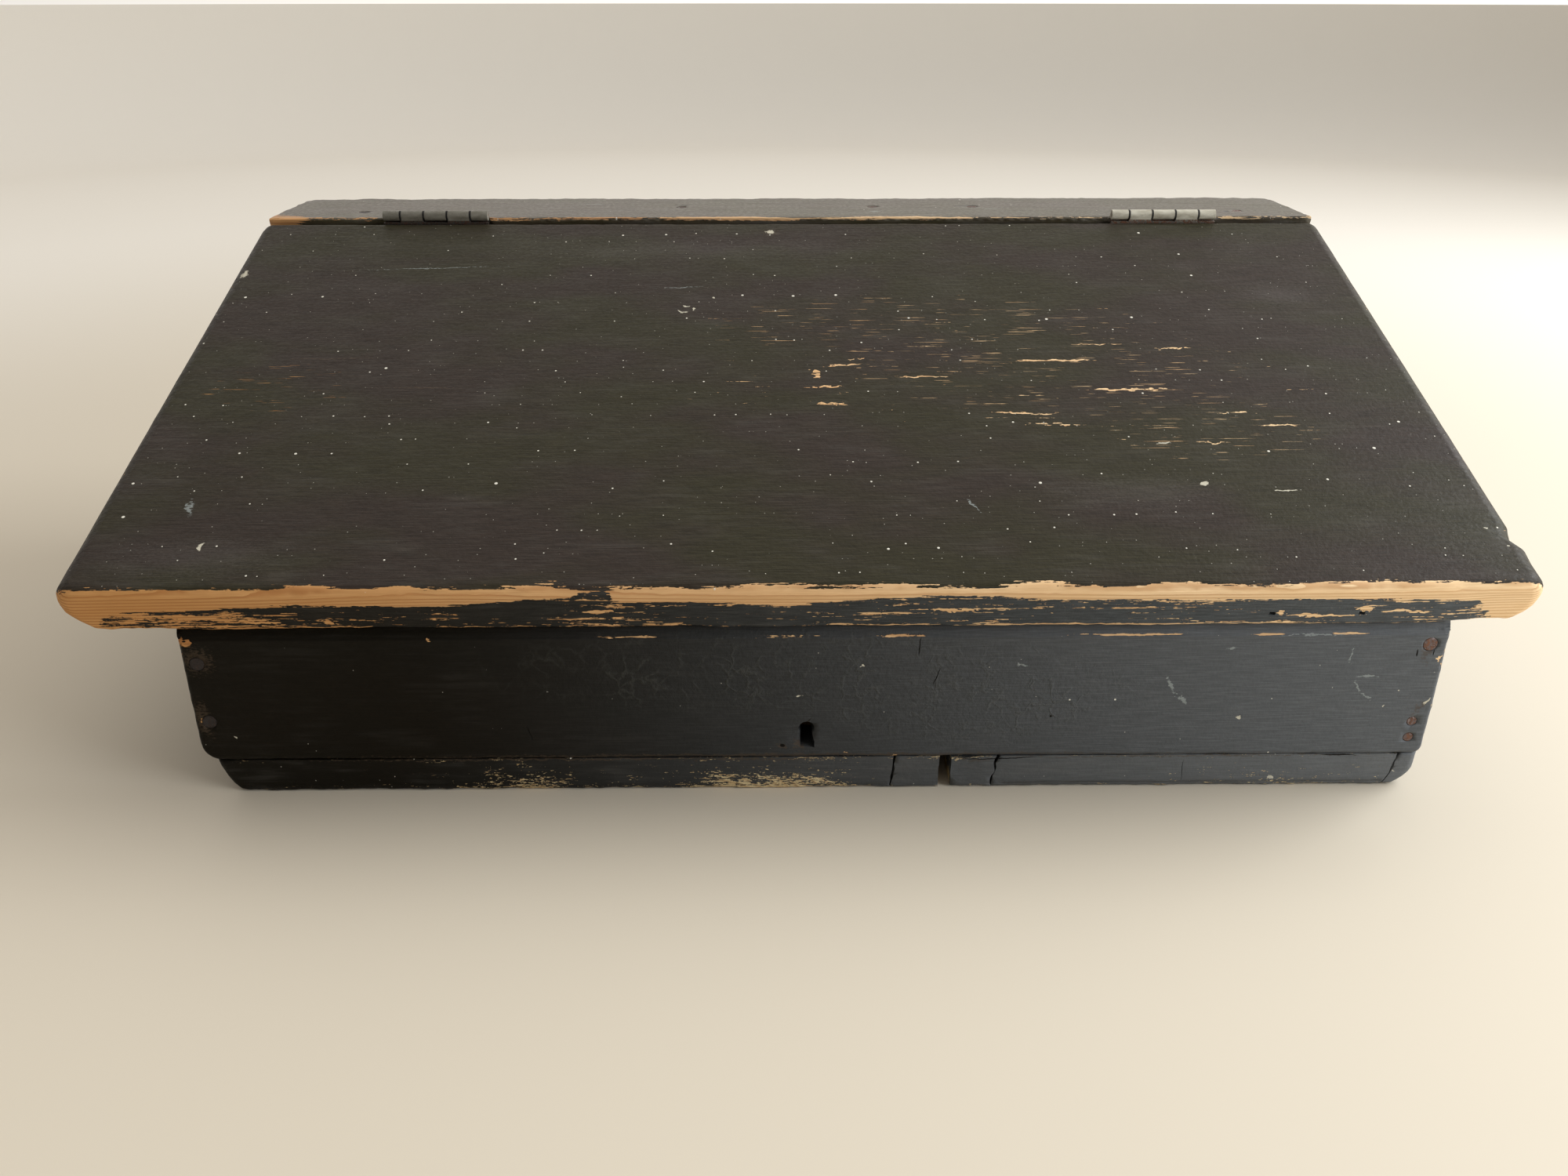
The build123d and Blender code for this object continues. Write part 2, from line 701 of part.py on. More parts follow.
# The lock's plate is nailed inside the front board
with BuildPart() as lock_plate:
    with BuildSketch(facing(lock_x, plate_back, plate_middle_z, (0, 1, 0))):
        Rectangle(lock_plate_width, plate_high - plate_low)
    extrude(amount=-lock_plate_thickness)
    with BuildSketch(facing(lock_x, front_back, key_z, (0, -1, 0))):
        Circle(keyhole_radius - keyhole_step)
        with Locations((0, (keyhole_step - keyhole_drop) / 2)):
            Rectangle(keyhole_slot - 2 * keyhole_step, keyhole_drop - keyhole_step)
    extrude(amount=-lock_plate_thickness, mode=Mode.SUBTRACT)
    with BuildSketch(*rivet_places):
        Circle(rivet_radius + hole_clearance)
    extrude(amount=-(lock_plate_thickness + lock_case_wall), mode=Mode.SUBTRACT)
    with Locations(*lock_nail_places):
        add(lock_nail_hole, mode=Mode.SUBTRACT)
save(lock_plate.part, "lock_plate")
save(drive(lock_nail, lock_nail_places), "lock_nails")

# The case is a tray on the plate, open at the top for the hasp
tray_plane = facing(lock_x, plate_back, (case_low + case_high) / 2, (0, 1, 0))
talon_top = key_z + key_swing - talon_bite + talon_depth
bolt_plate_high = hasp_tip.Z - lock_clearance
stud_middle_z = (talon_top + bolt_plate_high) / 2
stud_places = [
    facing(lock_x - stud_setback, case_back, stud_middle_z + step * stud_pitch / 2, (0, 1, 0))
    for step in (-1, 1)
]
post_place = facing(lock_x, case_back, key_z, (0, 1, 0))
with BuildPart() as lock_case:
    with BuildSketch(tray_plane):
        Rectangle(lock_case_width, case_high - case_low)
    extrude(amount=lock_case_depth)
    with BuildSketch(facing(lock_x, plate_back, plate_middle_z, (0, 1, 0))):
        Rectangle(lock_case_width + 2 * lock_ear_width, lock_ear_height)
    extrude(amount=lock_case_wall)
    with BuildSketch(tray_plane):
        Rectangle(
            lock_case_width - 2 * lock_case_wall, case_high - case_low - 2 * lock_case_wall
        )
    extrude(amount=lock_case_depth - lock_case_wall, mode=Mode.SUBTRACT)
    inner_depth = lock_case_depth - lock_case_wall
    with BuildSketch(facing(lock_x, plate_back + inner_depth / 2, case_high, (0, 0, 1))):
        Rectangle(hasp_thickness + 2 * hasp_side_clearance, inner_depth)
    extrude(amount=-lock_case_wall, mode=Mode.SUBTRACT)
    with BuildSketch(*rivet_places):
        Circle(rivet_radius + hole_clearance)
    extrude(amount=-lock_case_wall, mode=Mode.SUBTRACT)
    with BuildSketch(*stud_places):
        Circle(stud_radius + hole_clearance)
    extrude(amount=-lock_case_wall, mode=Mode.SUBTRACT)
    with BuildSketch(post_place):
        Circle(key_post_radius + hole_clearance)
    extrude(amount=-lock_case_wall, mode=Mode.SUBTRACT)
save(lock_case.part, "lock_case")

with BuildPart() as lock_rivets:
    with BuildSketch(*rivet_places):
        Circle(rivet_radius)
    extrude(amount=-(lock_plate_thickness + lock_case_wall))
    with BuildSketch(*rivet_places):
        Circle(rivet_head_radius)
    extrude(amount=rivet_head_height, taper=rivet_head_taper)
save(lock_rivets.part, "lock_rivets")

with BuildPart() as key_post:
    with BuildSketch(post_place):
        Circle(key_post_radius)
    extrude(amount=-(lock_case_depth - key_post_setback))
    chamfer(key_post.edges().sort_by(Axis.Y)[0], length=pin_chamfer)
save(key_post.part, "key_post")

# The bolt is a plate with a bar above it. The key's bit drives it by the talon below.
bolt_front = eye.Y - bolt_thickness / 2
bolt_low = talon_top - talon_depth
bar_high = eye.Z + bolt_height / 2
bar_low = eye.Z - bolt_height / 2
neck_right = bolt_tip - bolt_throw  # the neck and the spring stop short of the hasp when locked
with BuildPart() as lock_bolt:
    with BuildSketch(facing(0, bolt_front, 0, (0, -1, 0))):
        with BuildLine():
            Polyline(
                (bolt_left, bolt_low),
                (bolt_left, bar_high),
                (bolt_tip, bar_high),
                (bolt_tip, bar_low),
                (neck_right, bar_low),
                (neck_right, bolt_plate_high),
                (bolt_tip + bolt_plate_reach, bolt_plate_high),
                (bolt_tip + bolt_plate_reach, bolt_low),
                close=True,
            )
        make_face()
        with Locations((lock_x - bolt_throw / 2, bolt_low + talon_depth / 2)):
            Rectangle(talon_width, talon_depth, mode=Mode.SUBTRACT)
        slot_x = lock_x - stud_setback - bolt_throw / 2
        with Locations(*[(slot_x, stud_middle_z + step * stud_pitch / 2) for step in (-1, 1)]):
            SlotCenterToCenter(
                bolt_throw, 2 * (stud_radius + slide_clearance), mode=Mode.SUBTRACT
            )
    extrude(amount=-bolt_thickness)
save(lock_bolt.part, "lock_bolt")

# Studs stand on the case's back, with a collar behind the bolt and a head before it
bolt_back = bolt_front + bolt_thickness
collar_length = case_back - lock_case_wall - bolt_back - slide_clearance
stud_reach = case_back - bolt_front + slide_clearance + stud_head_height
with BuildPart() as bolt_studs:
    with BuildSketch(*stud_places):
        Circle(stud_radius)
    extrude(amount=-stud_reach)
    with BuildSketch(*[place.offset(-lock_case_wall) for place in stud_places]):
        Circle(stud_collar_radius)
    extrude(amount=-collar_length)
    with BuildSketch(*[place.offset(stud_head_height - stud_reach) for place in stud_places]):
        Circle(stud_collar_radius)
    extrude(amount=-stud_head_height)
save(bolt_studs.part, "bolt_studs")

# A bowed leaf spring on the bolt rubs under the top of the case
spring_rise = case_high - lock_case_wall - slide_clearance - bar_high
spring_start = bolt_left + spring_foot
spring_end = neck_right
spring_middle = (spring_start + spring_end) / 2
with BuildPart() as bolt_spring:
    with BuildSketch(facing(0, eye.Y, 0, (0, -1, 0))):
        with BuildLine():
            Line((bolt_left, bar_high), (spring_start, bar_high))
            ThreePointArc(
                (spring_start, bar_high),
                (spring_middle, bar_high + spring_rise - spring_thickness),
                (spring_end, bar_high + spring_thickness),
            )
            Line(
                (spring_end, bar_high + spring_thickness),
                (spring_end, bar_high + 2 * spring_thickness),
            )
            ThreePointArc(
                (spring_end, bar_high + 2 * spring_thickness),
                (spring_middle, bar_high + spring_rise),
                (spring_start, bar_high + spring_thickness),
            )
            Line((spring_start, bar_high + spring_thickness), (bolt_left, bar_high + spring_thickness))
            Line((bolt_left, bar_high + spring_thickness), (bolt_left, bar_high))
        make_face()
    extrude(amount=spring_width / 2, both=True)
save(bolt_spring.part, "bolt_spring")

print("hinge axis", hinge_point, "lid arris", lid_front_y, lid_front_z)
print("front face", front_face, front_back, "back board", back_front, back_face, ledge_back)
print("body", body_left, body_right, "seat", seat_z, "slope end", slope_end)
print("ledge", ledge_bottom, ledge_top, "whole depth", whole_depth)
print("hasp u", hasp_u, "width", hasp_width, "eye", eye, "tip", hasp_tip, "heel", hasp_heel)
print("lock x", lock_x, "plate", plate_low, plate_high, "case", case_low, case_high, case_back)
print("key z", key_z, "bolt", bolt_low, bolt_plate_high, bolt_left, bolt_tip, "spring", spring_rise)
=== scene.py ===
# %% [markdown]
# # An old table desk under black paint
#
# The object is a small table desk: a nailed pine box with a low front and a high back, a wide
# sloping lid and a narrow fixed ledge behind it, all under a thin coat of black paint that has worn
# off the edges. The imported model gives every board, hinge, nail and lock part its place. This file
# adds age: rubbed edges, dents, splits, flaking paint, bare wood, rust and splashes.
#
# The frame is loaded first, because everything else takes its place from it.

# %% Load the frame
import json
from math import cos, pi, radians, sin

import bpy
from mathutils import Euler, Matrix, Vector


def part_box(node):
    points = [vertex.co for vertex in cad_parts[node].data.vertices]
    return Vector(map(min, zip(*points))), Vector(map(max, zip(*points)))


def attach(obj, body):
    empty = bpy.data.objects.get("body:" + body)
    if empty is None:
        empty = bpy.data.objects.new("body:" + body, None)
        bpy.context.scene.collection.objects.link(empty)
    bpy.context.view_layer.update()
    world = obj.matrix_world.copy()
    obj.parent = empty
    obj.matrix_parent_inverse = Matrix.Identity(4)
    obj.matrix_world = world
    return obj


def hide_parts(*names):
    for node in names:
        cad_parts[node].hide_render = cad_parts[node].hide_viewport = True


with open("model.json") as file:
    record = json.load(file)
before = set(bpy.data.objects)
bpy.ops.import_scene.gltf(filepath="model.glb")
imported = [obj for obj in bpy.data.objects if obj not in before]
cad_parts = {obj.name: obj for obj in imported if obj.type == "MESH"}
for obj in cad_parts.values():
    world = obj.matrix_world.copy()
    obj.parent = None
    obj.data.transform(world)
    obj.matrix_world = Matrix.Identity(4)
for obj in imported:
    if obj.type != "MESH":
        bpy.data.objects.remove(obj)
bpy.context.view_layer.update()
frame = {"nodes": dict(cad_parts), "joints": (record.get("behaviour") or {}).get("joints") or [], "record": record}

MM = 0.001

# %% [markdown]
# ## Each board's own directions
#
# A board is easiest to think about in its own directions: x along the grain, y across it, and z out
# of its painted face. The lid slopes, and its place is found from the hinge, because the pin lies a
# little behind and above the lid's back edge. The other boards stand square, and their faces are
# read from the frame. One matrix a board turns its own directions into the model's.

# %% Places of the boards
LID_SLOPE = radians(19)
LID_LENGTH = 303 * MM
PIN_BEHIND = 1.5 * MM
PIN_ABOVE = 3.0 * MM
UP_SLOPE = Vector((0, cos(LID_SLOPE), sin(LID_SLOPE)))
OFF_LID = Vector((0, -sin(LID_SLOPE), cos(LID_SLOPE)))

hinge = next(joint for joint in frame["joints"] if joint["name"] == "lid_hinge")
PIN = Vector(hinge["pos_m"])
LID_FRONT = PIN - UP_SLOPE * (LID_LENGTH + PIN_BEHIND) - OFF_LID * PIN_ABOVE
LID_FRONT.x = 0
LEDGE_LOW, LEDGE_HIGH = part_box("ledge_board")
FRONT_LOW, FRONT_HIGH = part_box("front_board")
BASE_LOW, BASE_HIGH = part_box("left_base_board")
BASE_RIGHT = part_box("right_base_board")[1][0]
BACK_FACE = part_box("back_board")[1][1]
LEFT_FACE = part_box("left_side_board")[0][0]
RIGHT_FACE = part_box("right_side_board")[1][0]


def placed(origin, turn):
    """The matrix that carries a board's own directions to their place in the model."""
    return Matrix.Translation(origin) @ Euler(turn).to_matrix().to_4x4()


PLACES = {
    "lid_board": placed(LID_FRONT, (LID_SLOPE, 0, 0)),
    "ledge_board": placed((0, LEDGE_LOW[1], LEDGE_HIGH[2]), (0, 0, 0)),
    "front_board": placed((0, FRONT_LOW[1], 0), (pi / 2, 0, 0)),
    "back_board": placed((0, BACK_FACE, 0), (pi / 2, 0, pi)),
    "left_side_board": placed((LEFT_FACE, 0, 0), (pi / 2, 0, -pi / 2)),
    "right_side_board": placed((RIGHT_FACE, 0, 0), (pi / 2, 0, pi / 2)),
    "left_base_board": placed((0, BASE_LOW[1], BASE_HIGH[2]), (0, 0, pi / 2)),
    "right_base_board": placed((0, BASE_LOW[1], BASE_HIGH[2]), (0, 0, pi / 2)),
}
for node, place in PLACES.items():
    print(node, "starts at", [round(c, 4) for c in place.translation])

# %% [markdown]
# ## Working a board
#
# The frame's boards have the right outline, with every nail hole, mortise, split and the keyhole,
# but their faces are a few long triangles. A board is therefore copied, its triangles are merged
# back into plain faces, and it is sawn across with the bisect tool at even steps. The cuts change
# nothing that is seen, and they leave a mesh that is fine enough to be rubbed, dented and split.

# %% Helpers that work on one object
def only(obj):
    """Selects one object alone and makes it active."""
    bpy.ops.object.select_all(action="DESELECT")
    obj.select_set(True)
    bpy.context.view_layer.objects.active = obj


def workpiece(node, name):
    """A merged copy of a node of the frame, ready to be shaped."""
    piece = bpy.data.objects.new(name, frame["nodes"][node].data.copy())
    bpy.context.scene.collection.objects.link(piece)
    only(piece)
    bpy.ops.object.mode_set(mode="EDIT")
    bpy.ops.mesh.select_all(action="SELECT")
    bpy.ops.mesh.remove_doubles(threshold=0.001 * MM)
    bpy.ops.mesh.dissolve_limited(angle_limit=radians(0.5))
    bpy.ops.object.mode_set(mode="OBJECT")
    piece.data.materials.clear()
    return piece


def reach(piece, direction):
    """Where a piece starts and ends along a direction."""
    along = [vertex.co.dot(direction) for vertex in piece.data.vertices]
    return min(along), max(along)


def saw(piece, direction, step, extra=()):
    """Cuts the mesh across a direction at even steps, and at some extra places."""
    start, end = reach(piece, direction)
    count = max(1, round((end - start) / step))
    cuts = [start + (end - start) * k / count for k in range(1, count)]
    only(piece)
    bpy.ops.object.mode_set(mode="EDIT")
    for cut in [*cuts, *extra]:
        bpy.ops.mesh.select_all(action="SELECT")
        bpy.ops.mesh.bisect(plane_co=direction * cut, plane_no=direction)
    bpy.ops.object.mode_set(mode="OBJECT")


# %% [markdown]
# ## Where the paint has worn
#
# A painter of models would brush a wear mask onto the board. Here the same is done by rule: every
# vertex gets a number, `coat`, that says how sound the paint is there. At 1 it holds, at 0 it is
# gone, and between them a streaky pattern in the material decides, so that paint and bare wood meet
# in ragged flakes. A second number, `inside`, marks the faces that never had paint.

# %% Numbers on the vertices
def note(piece, label, rule, place):
    """Stores a number on every vertex, by a rule of its place on the board in millimetres."""
    attribute = piece.data.attributes.new(label, "FLOAT", "POINT")
    to_board = place.inverted()
    spots = [to_board @ vertex.co / MM for vertex in piece.data.vertices]
    attribute.data.foreach_set("value", [rule(*spot) for spot in spots])


def ramp(value, low, high):
    """Rises smoothly from 0 at low to 1 at high."""
    share = min(1.0, max(0.0, (value - low) / (high - low)))
    return share * share * (3 - 2 * share)


def along_knots(value, knots):
    """Reads a line drawn through a few knots."""
    if value <= knots[0][0]:
        return knots[0][1]
    for (start, low), (end, high) in zip(knots, knots[1:]):
        if value <= end:
            return low + (high - low) * (value - start) / (end - start)
    return knots[-1][1]


def spot(x, y, cx, cy, rx, ry):
    """1 in the middle of an oval spot, fading to 0 at its rim."""
    return 1 - ramp(((x - cx) / rx) ** 2 + ((y - cy) / ry) ** 2, 0, 1)


# %% [markdown]
# The lid's front edge is the most worn part of the desk. Hands and forearms took a band of paint
# off its top arris from end to end, deeper at the left than in the middle, and both ends are bare.
# Below the band the paint holds on, with streaks gone along the grain, and the lowest arris is
# bare again as a thin line. The knots are how deep the band reaches at a few places along the edge.

# %% The lid
LID_THICKNESS = 22
BAND_DEPTH = (
    (-300, 22), (-292, 17), (-280, 11), (-235, 9), (-205, 7.5), (-150, 8.5), (-96, 4), (-86, 0),
    (-80, 0), (-74, 6.5), (-50, 6.5), (-8, 9), (20, 6), (45, 4.5), (80, 4), (88, 5), (110, 7),
    (140, 6), (190, 6.5), (240, 7), (262, 7), (276, 9), (288, 22), (300, 22),
)
BELOW_BAND = (
    (-300, 0.2), (-288, 0.46), (-262, 0.56), (-230, 0.56), (-212, 0.7), (-160, 0.8), (-110, 0.82),
    (-96, 0.66), (-80, 0.72), (-40, 0.85), (0, 0.76), (30, 0.7), (62, 0.74), (90, 0.7), (150, 0.74),
    (210, 0.77), (250, 0.72), (284, 0.62), (290, 0.2), (300, 0),
)
# where the band bites back into the top of the lid: middle and half length
TOP_NIBBLES = (
    (-199, 15), (-163, 10), (-108, 16), (-10, 22), (34, 14), (96, 18), (150, 16), (225, 30), (262, 14),
)
CASE_LEFT, CASE_RIGHT = FRONT_LOW[0] / MM, FRONT_HIGH[0] / MM


def brush_lap(x, y):
    """How far a brush ran past a line, as it wanders along an edge."""
    return 3.5 * sin(y / 23) + 1.5 * sin(y / 7.3 + 1) + 2.5 * sin(x / 31) + 1.2 * sin(x / 9.7)


def lid_coat(x, u, v):
    """x is the place along the lid, u the way up its slope and v the way out of its face."""
    depth = -v
    if depth > LID_THICKNESS - 0.4 and u > 3:
        over_case = min(x - CASE_LEFT, CASE_RIGHT - x, u - 12) + brush_lap(x, u)
        return 0.95 - 1.3 * ramp(over_case, -6, 6)
    sound = 1.08 - 0.13 * spot(x, u, 110, 150, 190, 95) - 0.06 * spot(x, u, -60, 140, 120, 60)
    if abs(x) > 298 and u > 12:
        sound -= 0.18
    if u > 300:
        sound -= 0.12
    border = along_knots(x, BAND_DEPTH)
    below = along_knots(x, BELOW_BAND)
    edge = -0.35 + (below + 0.35) * ramp(depth, border - 2.2, border + 1.2)
    edge -= (0.42 if x > 60 else 0.28) * ramp(depth, 19.2, 21.4)
    nibbled = sum(spot(x, u, at, 2.5, half, 3.5) for at, half in TOP_NIBBLES)
    top = 0.12 + (sound - 0.12) * ramp(u, -0.5, 5.5) - 0.4 * nibbled
    near_edge = 1 - ramp(u, 0.4, 2.0) if depth < 5 else 1 - ramp(u, 4, 9)
    value = edge * near_edge + top * (1 - near_edge)
    round_left = 1 - ramp(x, -297, -290)
    return value - 0.5 * round_left * (1 - ramp(u, 5, 16)) * ramp(depth, 1, 5)


def lid_inside(x, u, v):
    over_case = min(x - CASE_LEFT, CASE_RIGHT - x, u - 12)
    return ramp(-v, LID_THICKNESS - 3, LID_THICKNESS - 0.5) * ramp(over_case, -4, 4)


# %% [markdown]
# The other boards follow simpler rules: sound paint outside, none inside, and thinner paint within
# a few millimetres of every arris that is in the way of hands, cloths and table tops. The ends of
# the back board show at the corners of the case, so they are painted too.

# %% The other boards
def arris(*gaps):
    """How near a place is to an edge, where two of its distances to faces are small."""
    return sorted(abs(gap) for gap in gaps)[1]


BARE = -0.3
HALF_LENGTH = 300
LEDGE_UNDERSIDE = 19.6
LEDGE_BACK = 75.4
LEDGE_OVER_CASE = (BACK_FACE - LEDGE_LOW[1]) / MM


def ledge_coat(x, y, z):
    """Painted all over but above the case, and most worn along its front arris."""
    if z < -LEDGE_UNDERSIDE:
        over_case = min(x - CASE_LEFT, CASE_RIGHT - x, LEDGE_OVER_CASE - y)
        return 0.98 - 1.4 * ramp(over_case, 2, 8)
    front = 1 - ramp(arris(y, z), 0, 2.6)
    worn = 0.55 + 0.5 * spot(x, 0, -35, 0, 42, 1) + 0.35 * spot(x, 0, 66, 0, 62, 1)
    ends = 1 - ramp(arris(HALF_LENGTH - abs(x), z), 0, 3)
    back = 1 - ramp(arris(LEDGE_BACK - y, z), 0, 3)
    left_end = spot(x, y, -HALF_LENGTH, 0, 26, 14)
    return 1.04 - worn * front - 0.35 * ends - 0.3 * back - 0.9 * left_end


def ledge_inside(x, y, z):
    return ramp(-z, LEDGE_UNDERSIDE - 2.1, LEDGE_UNDERSIDE + 0.2)


# where the front's top arris is worn: middle, half length, how much
TOP_WEAR = (
    (-73, 26, 0.62), (-6, 22, 0.62), (40, 14, 0.4), (71, 5, 0.5), (135, 40, 0.68), (194, 10, 0.7),
    (230, 12, 0.45),
)
FRONT_TOP = FRONT_HIGH[2] / MM
FRONT_THICK = (FRONT_HIGH[1] - FRONT_LOW[1]) / MM
FRONT_ARRIS = 76.0


def front_coat(x, y, z):
    """Painted outside and over its top, rubbed in places along the arris below the bevel."""
    if z < -FRONT_THICK + 0.4:
        return 0.9 - 1.3 * ramp(FRONT_TOP - y, 0, 4)
    ends = 1 - ramp(min(x - CASE_LEFT, CASE_RIGHT - x), 0, 2.5)
    rim = 1 - ramp(abs(y - FRONT_ARRIS) + 0.4 * max(0, -z - 1.5), 0, 1.0)
    worn = sum(amount * spot(x, 0, at, 0, half, 1) for at, half, amount in TOP_WEAR)
    value = 1.06 - 0.3 * ends - rim * (0.16 + worn)
    if y > FRONT_TOP - 1 and z < -6:
        value -= 0.45 * ramp(-z, 6, 14)
    return value - 0.2 * (1 - ramp(arris(y - 16.5, z), 0, 2))


def front_inside(x, y, z):
    return ramp(-z, FRONT_THICK - 5, FRONT_THICK - 1)


def wall_coat(x, y, z):
    """A side: painted outside, bare inside, with thinner paint over its top."""
    if z < -16:
        return BARE
    return 1.02 - 0.5 * ramp(-z, 3, 14)


def back_coat(x, y, z):
    """The back, whose ends show at the corners and are painted too."""
    from_end = min(-x - CASE_LEFT, CASE_RIGHT + x)
    if from_end > 2.5:
        return wall_coat(x, y, z)
    low = 1 - ramp(y, 20, 60)
    return 0.98 - (0.25 + 0.3 * low) * (1 - ramp(arris(from_end, z), 0, 3)) - 0.12 * ramp(-z, 12, 20)


def wall_inside(x, y, z):
    return ramp(-z, 12, 17)


BASE_THICK = (BASE_HIGH[2] - BASE_LOW[2]) / MM
BASE_DEPTH = (BASE_HIGH[1] - BASE_LOW[1]) / MM
# the gap between the two bottom boards lies between these
GAP_LEFT, GAP_RIGHT = 55, 70


def base_coat(x, y, z):
    """x is the way in from the front edge, y is the way to the left of the middle."""
    right = -y
    inward = min(x, BASE_DEPTH - x, right - BASE_LOW[0] / MM, BASE_RIGHT / MM - right)
    if z > -0.4 and inward > 3.5:
        return BARE
    if z < -BASE_THICK + 0.3 and inward > 4:
        return 0.3
    # the faces in the gap between the bottom boards are painted black, fading to bare wood low down: painted shade
    # in the gap
    if inward > 2.5 and GAP_LEFT < right < GAP_RIGHT:
        return 0.8 - 0.7 * ramp(-z, 7, 16)
    flaky = spot(right, 0, -14, 0, 46, 1) + 0.7 * spot(right, 0, -122, 0, 26, 1)
    flaky += 0.3 * spot(right, 0, -70, 0, 130, 1) + 0.35 * spot(right, 0, 210, 0, 70, 1)
    low = 0.25 + 0.75 * ramp(-z, 5, 13)
    foot = 1 - ramp(arris(inward, BASE_THICK + z), 0.5, 3.0)
    lip = 1 - ramp(arris(inward, z), 0.3, 2.2)
    value = 1.04 - 0.46 * flaky * low - 0.22 * foot - 0.16 * lip
    return value - 0.4 * spot(right, z, 66, 0, 20, 3)


def base_inside(x, y, z):
    return ramp(z, -2, -0.5)


# %% [markdown]
# ## Rubbing the edges down
#
# Hands, sleeves and table tops wear a board at its edges. Each vertex gets a weight that is full on
# an edge and fades out within a few millimetres. A Displace modifier with a cloudy texture then
# bites into the board by that weight, so that the edge wanders as a real old edge does. A second,
# much weaker one moves the faces in long slow waves, because no old board is quite flat.

# %% Weights and the displacements
def edge_weights(piece, directions, fade):
    """A vertex group that is full on the edges of a board and fades out on its faces."""
    spans = [(direction, *reach(piece, direction)) for direction in directions]
    group = piece.vertex_groups.new(name="edges")
    for vertex in piece.data.vertices:
        gaps = []
        for direction, start, end in spans:
            along = vertex.co.dot(direction)
            gaps.append(min(along - start, end - along))
        weight = 1 - sorted(gaps)[1] / fade
        if weight > 0:
            group.add([vertex.index], weight, "REPLACE")
    return group


def cloud(name, size, depth=2, contrast=1.0):
    """A cloudy texture of a given size."""
    texture = bpy.data.textures.new(name, "CLOUDS")
    texture.noise_scale = size
    texture.noise_depth = depth
    texture.contrast = contrast
    return texture


def displace(piece, texture, strength, middle=0.5, group="", way="NORMAL"):
    """Moves the mesh by a texture, along its normals or along an axis, and applies the result."""
    only(piece)
    bpy.ops.object.modifier_add(type="DISPLACE")
    modifier = piece.modifiers[-1]
    modifier.texture = texture
    modifier.texture_coords = "LOCAL"
    modifier.direction = way
    modifier.strength = strength
    modifier.mid_level = middle
    modifier.vertex_group = group
    bpy.ops.object.modifier_apply(modifier=modifier.name)


def reshape(piece, place, rule):
    """Moves every vertex by a rule of its place on the board in millimetres."""
    to_board = place.inverted()
    for vertex in piece.data.vertices:
        vertex.co = place @ (Vector(rule(*(to_board @ vertex.co / MM))) * MM)
    piece.data.update()


LID_END_SWELL = {
    # how far the end stands out at a depth below the top
    -1: ((0, 0), (4, 2.3), (8, 3.2), (13, 2.5), (17, -1), (20, -5), (22, -9)),
    1: ((0, 0), (4, 2.5), (8, 4), (14, 4), (18, 1.5), (20.5, -1.5), (22, -4)),
}
BASE_END_CUT = {
    # how far the end is cut back at a depth below the top
    -1: ((0, 0), (4, 1.0), (8, 2.5), (12, 4.5), (15, 7), (16.5, 9.5)),
    1: ((0, -0.5), (8, 0), (11, 1.2), (14, 4.5), (16.5, 8.5)),
}
END_FADE = 20
BASE_LEFT_END, BASE_RIGHT_END = -CASE_LEFT - 4, CASE_RIGHT - 0.5


def round_lid_ends(x, u, v):
    side = 1 if x > 0 else -1
    near = 1 - ramp(HALF_LENGTH - abs(x), 0, END_FADE)
    return x + side * near * along_knots(-v, LID_END_SWELL[side]), u, v


def round_base_ends(x, y, z):
    side = -1 if y > 0 else 1
    outer = BASE_LEFT_END if y > 0 else BASE_RIGHT_END
    near = 1 - ramp(outer - abs(y), 0, END_FADE)
    return x, y + side * near * along_knots(-z, BASE_END_CUT[side]), z


def stand_flat(x, y, z):
    """Keeps the underside of a bottom board from sinking into the table."""
    return x, y, max(z, -BASE_THICK)


FINE_BITES = cloud("fine bites", 5 * MM, depth=3, contrast=1.6)
LONG_BITES = cloud("long bites", 34 * MM, depth=2, contrast=1.8)
SLOW_WAVES = cloud("slow waves", 120 * MM, depth=1)
WAVE_HEIGHT = 0.25 * MM
EDGE_FADE = 4.5 * MM
SMOOTH_ANGLE = radians(38)


def rub(piece, directions, bite):
    """Rubs down the edges of a board and lets its faces wander a little."""
    group = edge_weights(piece, directions, EDGE_FADE)
    displace(piece, FINE_BITES, -bite, middle=0.35, group=group.name)
    displace(piece, LONG_BITES, -bite, middle=0.45, group=group.name)
    displace(piece, SLOW_WAVES, WAVE_HEIGHT)
    only(piece)
    bpy.ops.object.shade_smooth_by_angle(angle=SMOOTH_ANGLE)


# %% [markdown]
# ## The eight boards
#
# Each board is sawn to steps that suit it: finely along the edges that show close up at the front,
# and more coarsely elsewhere. The numbers for paint are noted while the board is still true.

# %% Shape the boards
BOARDS = {
    # node: piece, body, slot, steps along, across and through in mm, bite in mm, coat, inside
    "lid_board": ("worn_lid", "lid", "lid_paint", (3, 8, 1.8), 0.8, lid_coat, lid_inside),
    "ledge_board": ("worn_ledge", "case", "lid_paint", (3, 5, 2.5), 0.7, ledge_coat, ledge_inside),
    "front_board": ("worn_front", "case", "case_paint", (3, 3, 3), 0.6, front_coat, front_inside),
    "back_board": ("worn_back", "case", "case_paint", (5, 5, 2.5), 0.6, back_coat, wall_inside),
    "left_side_board": ("worn_left_side", "case", "case_paint", (4, 4, 3), 0.6, wall_coat, wall_inside),
    "right_side_board": ("worn_right_side", "case", "case_paint", (4, 4, 3), 0.6, wall_coat, wall_inside),
    "left_base_board": ("worn_left_base", "case", "case_paint", (8, 2.5, 2), 0.8, base_coat, base_inside),
    "right_base_board": ("worn_right_base", "case", "case_paint", (8, 2.5, 2), 0.8, base_coat, base_inside),
}
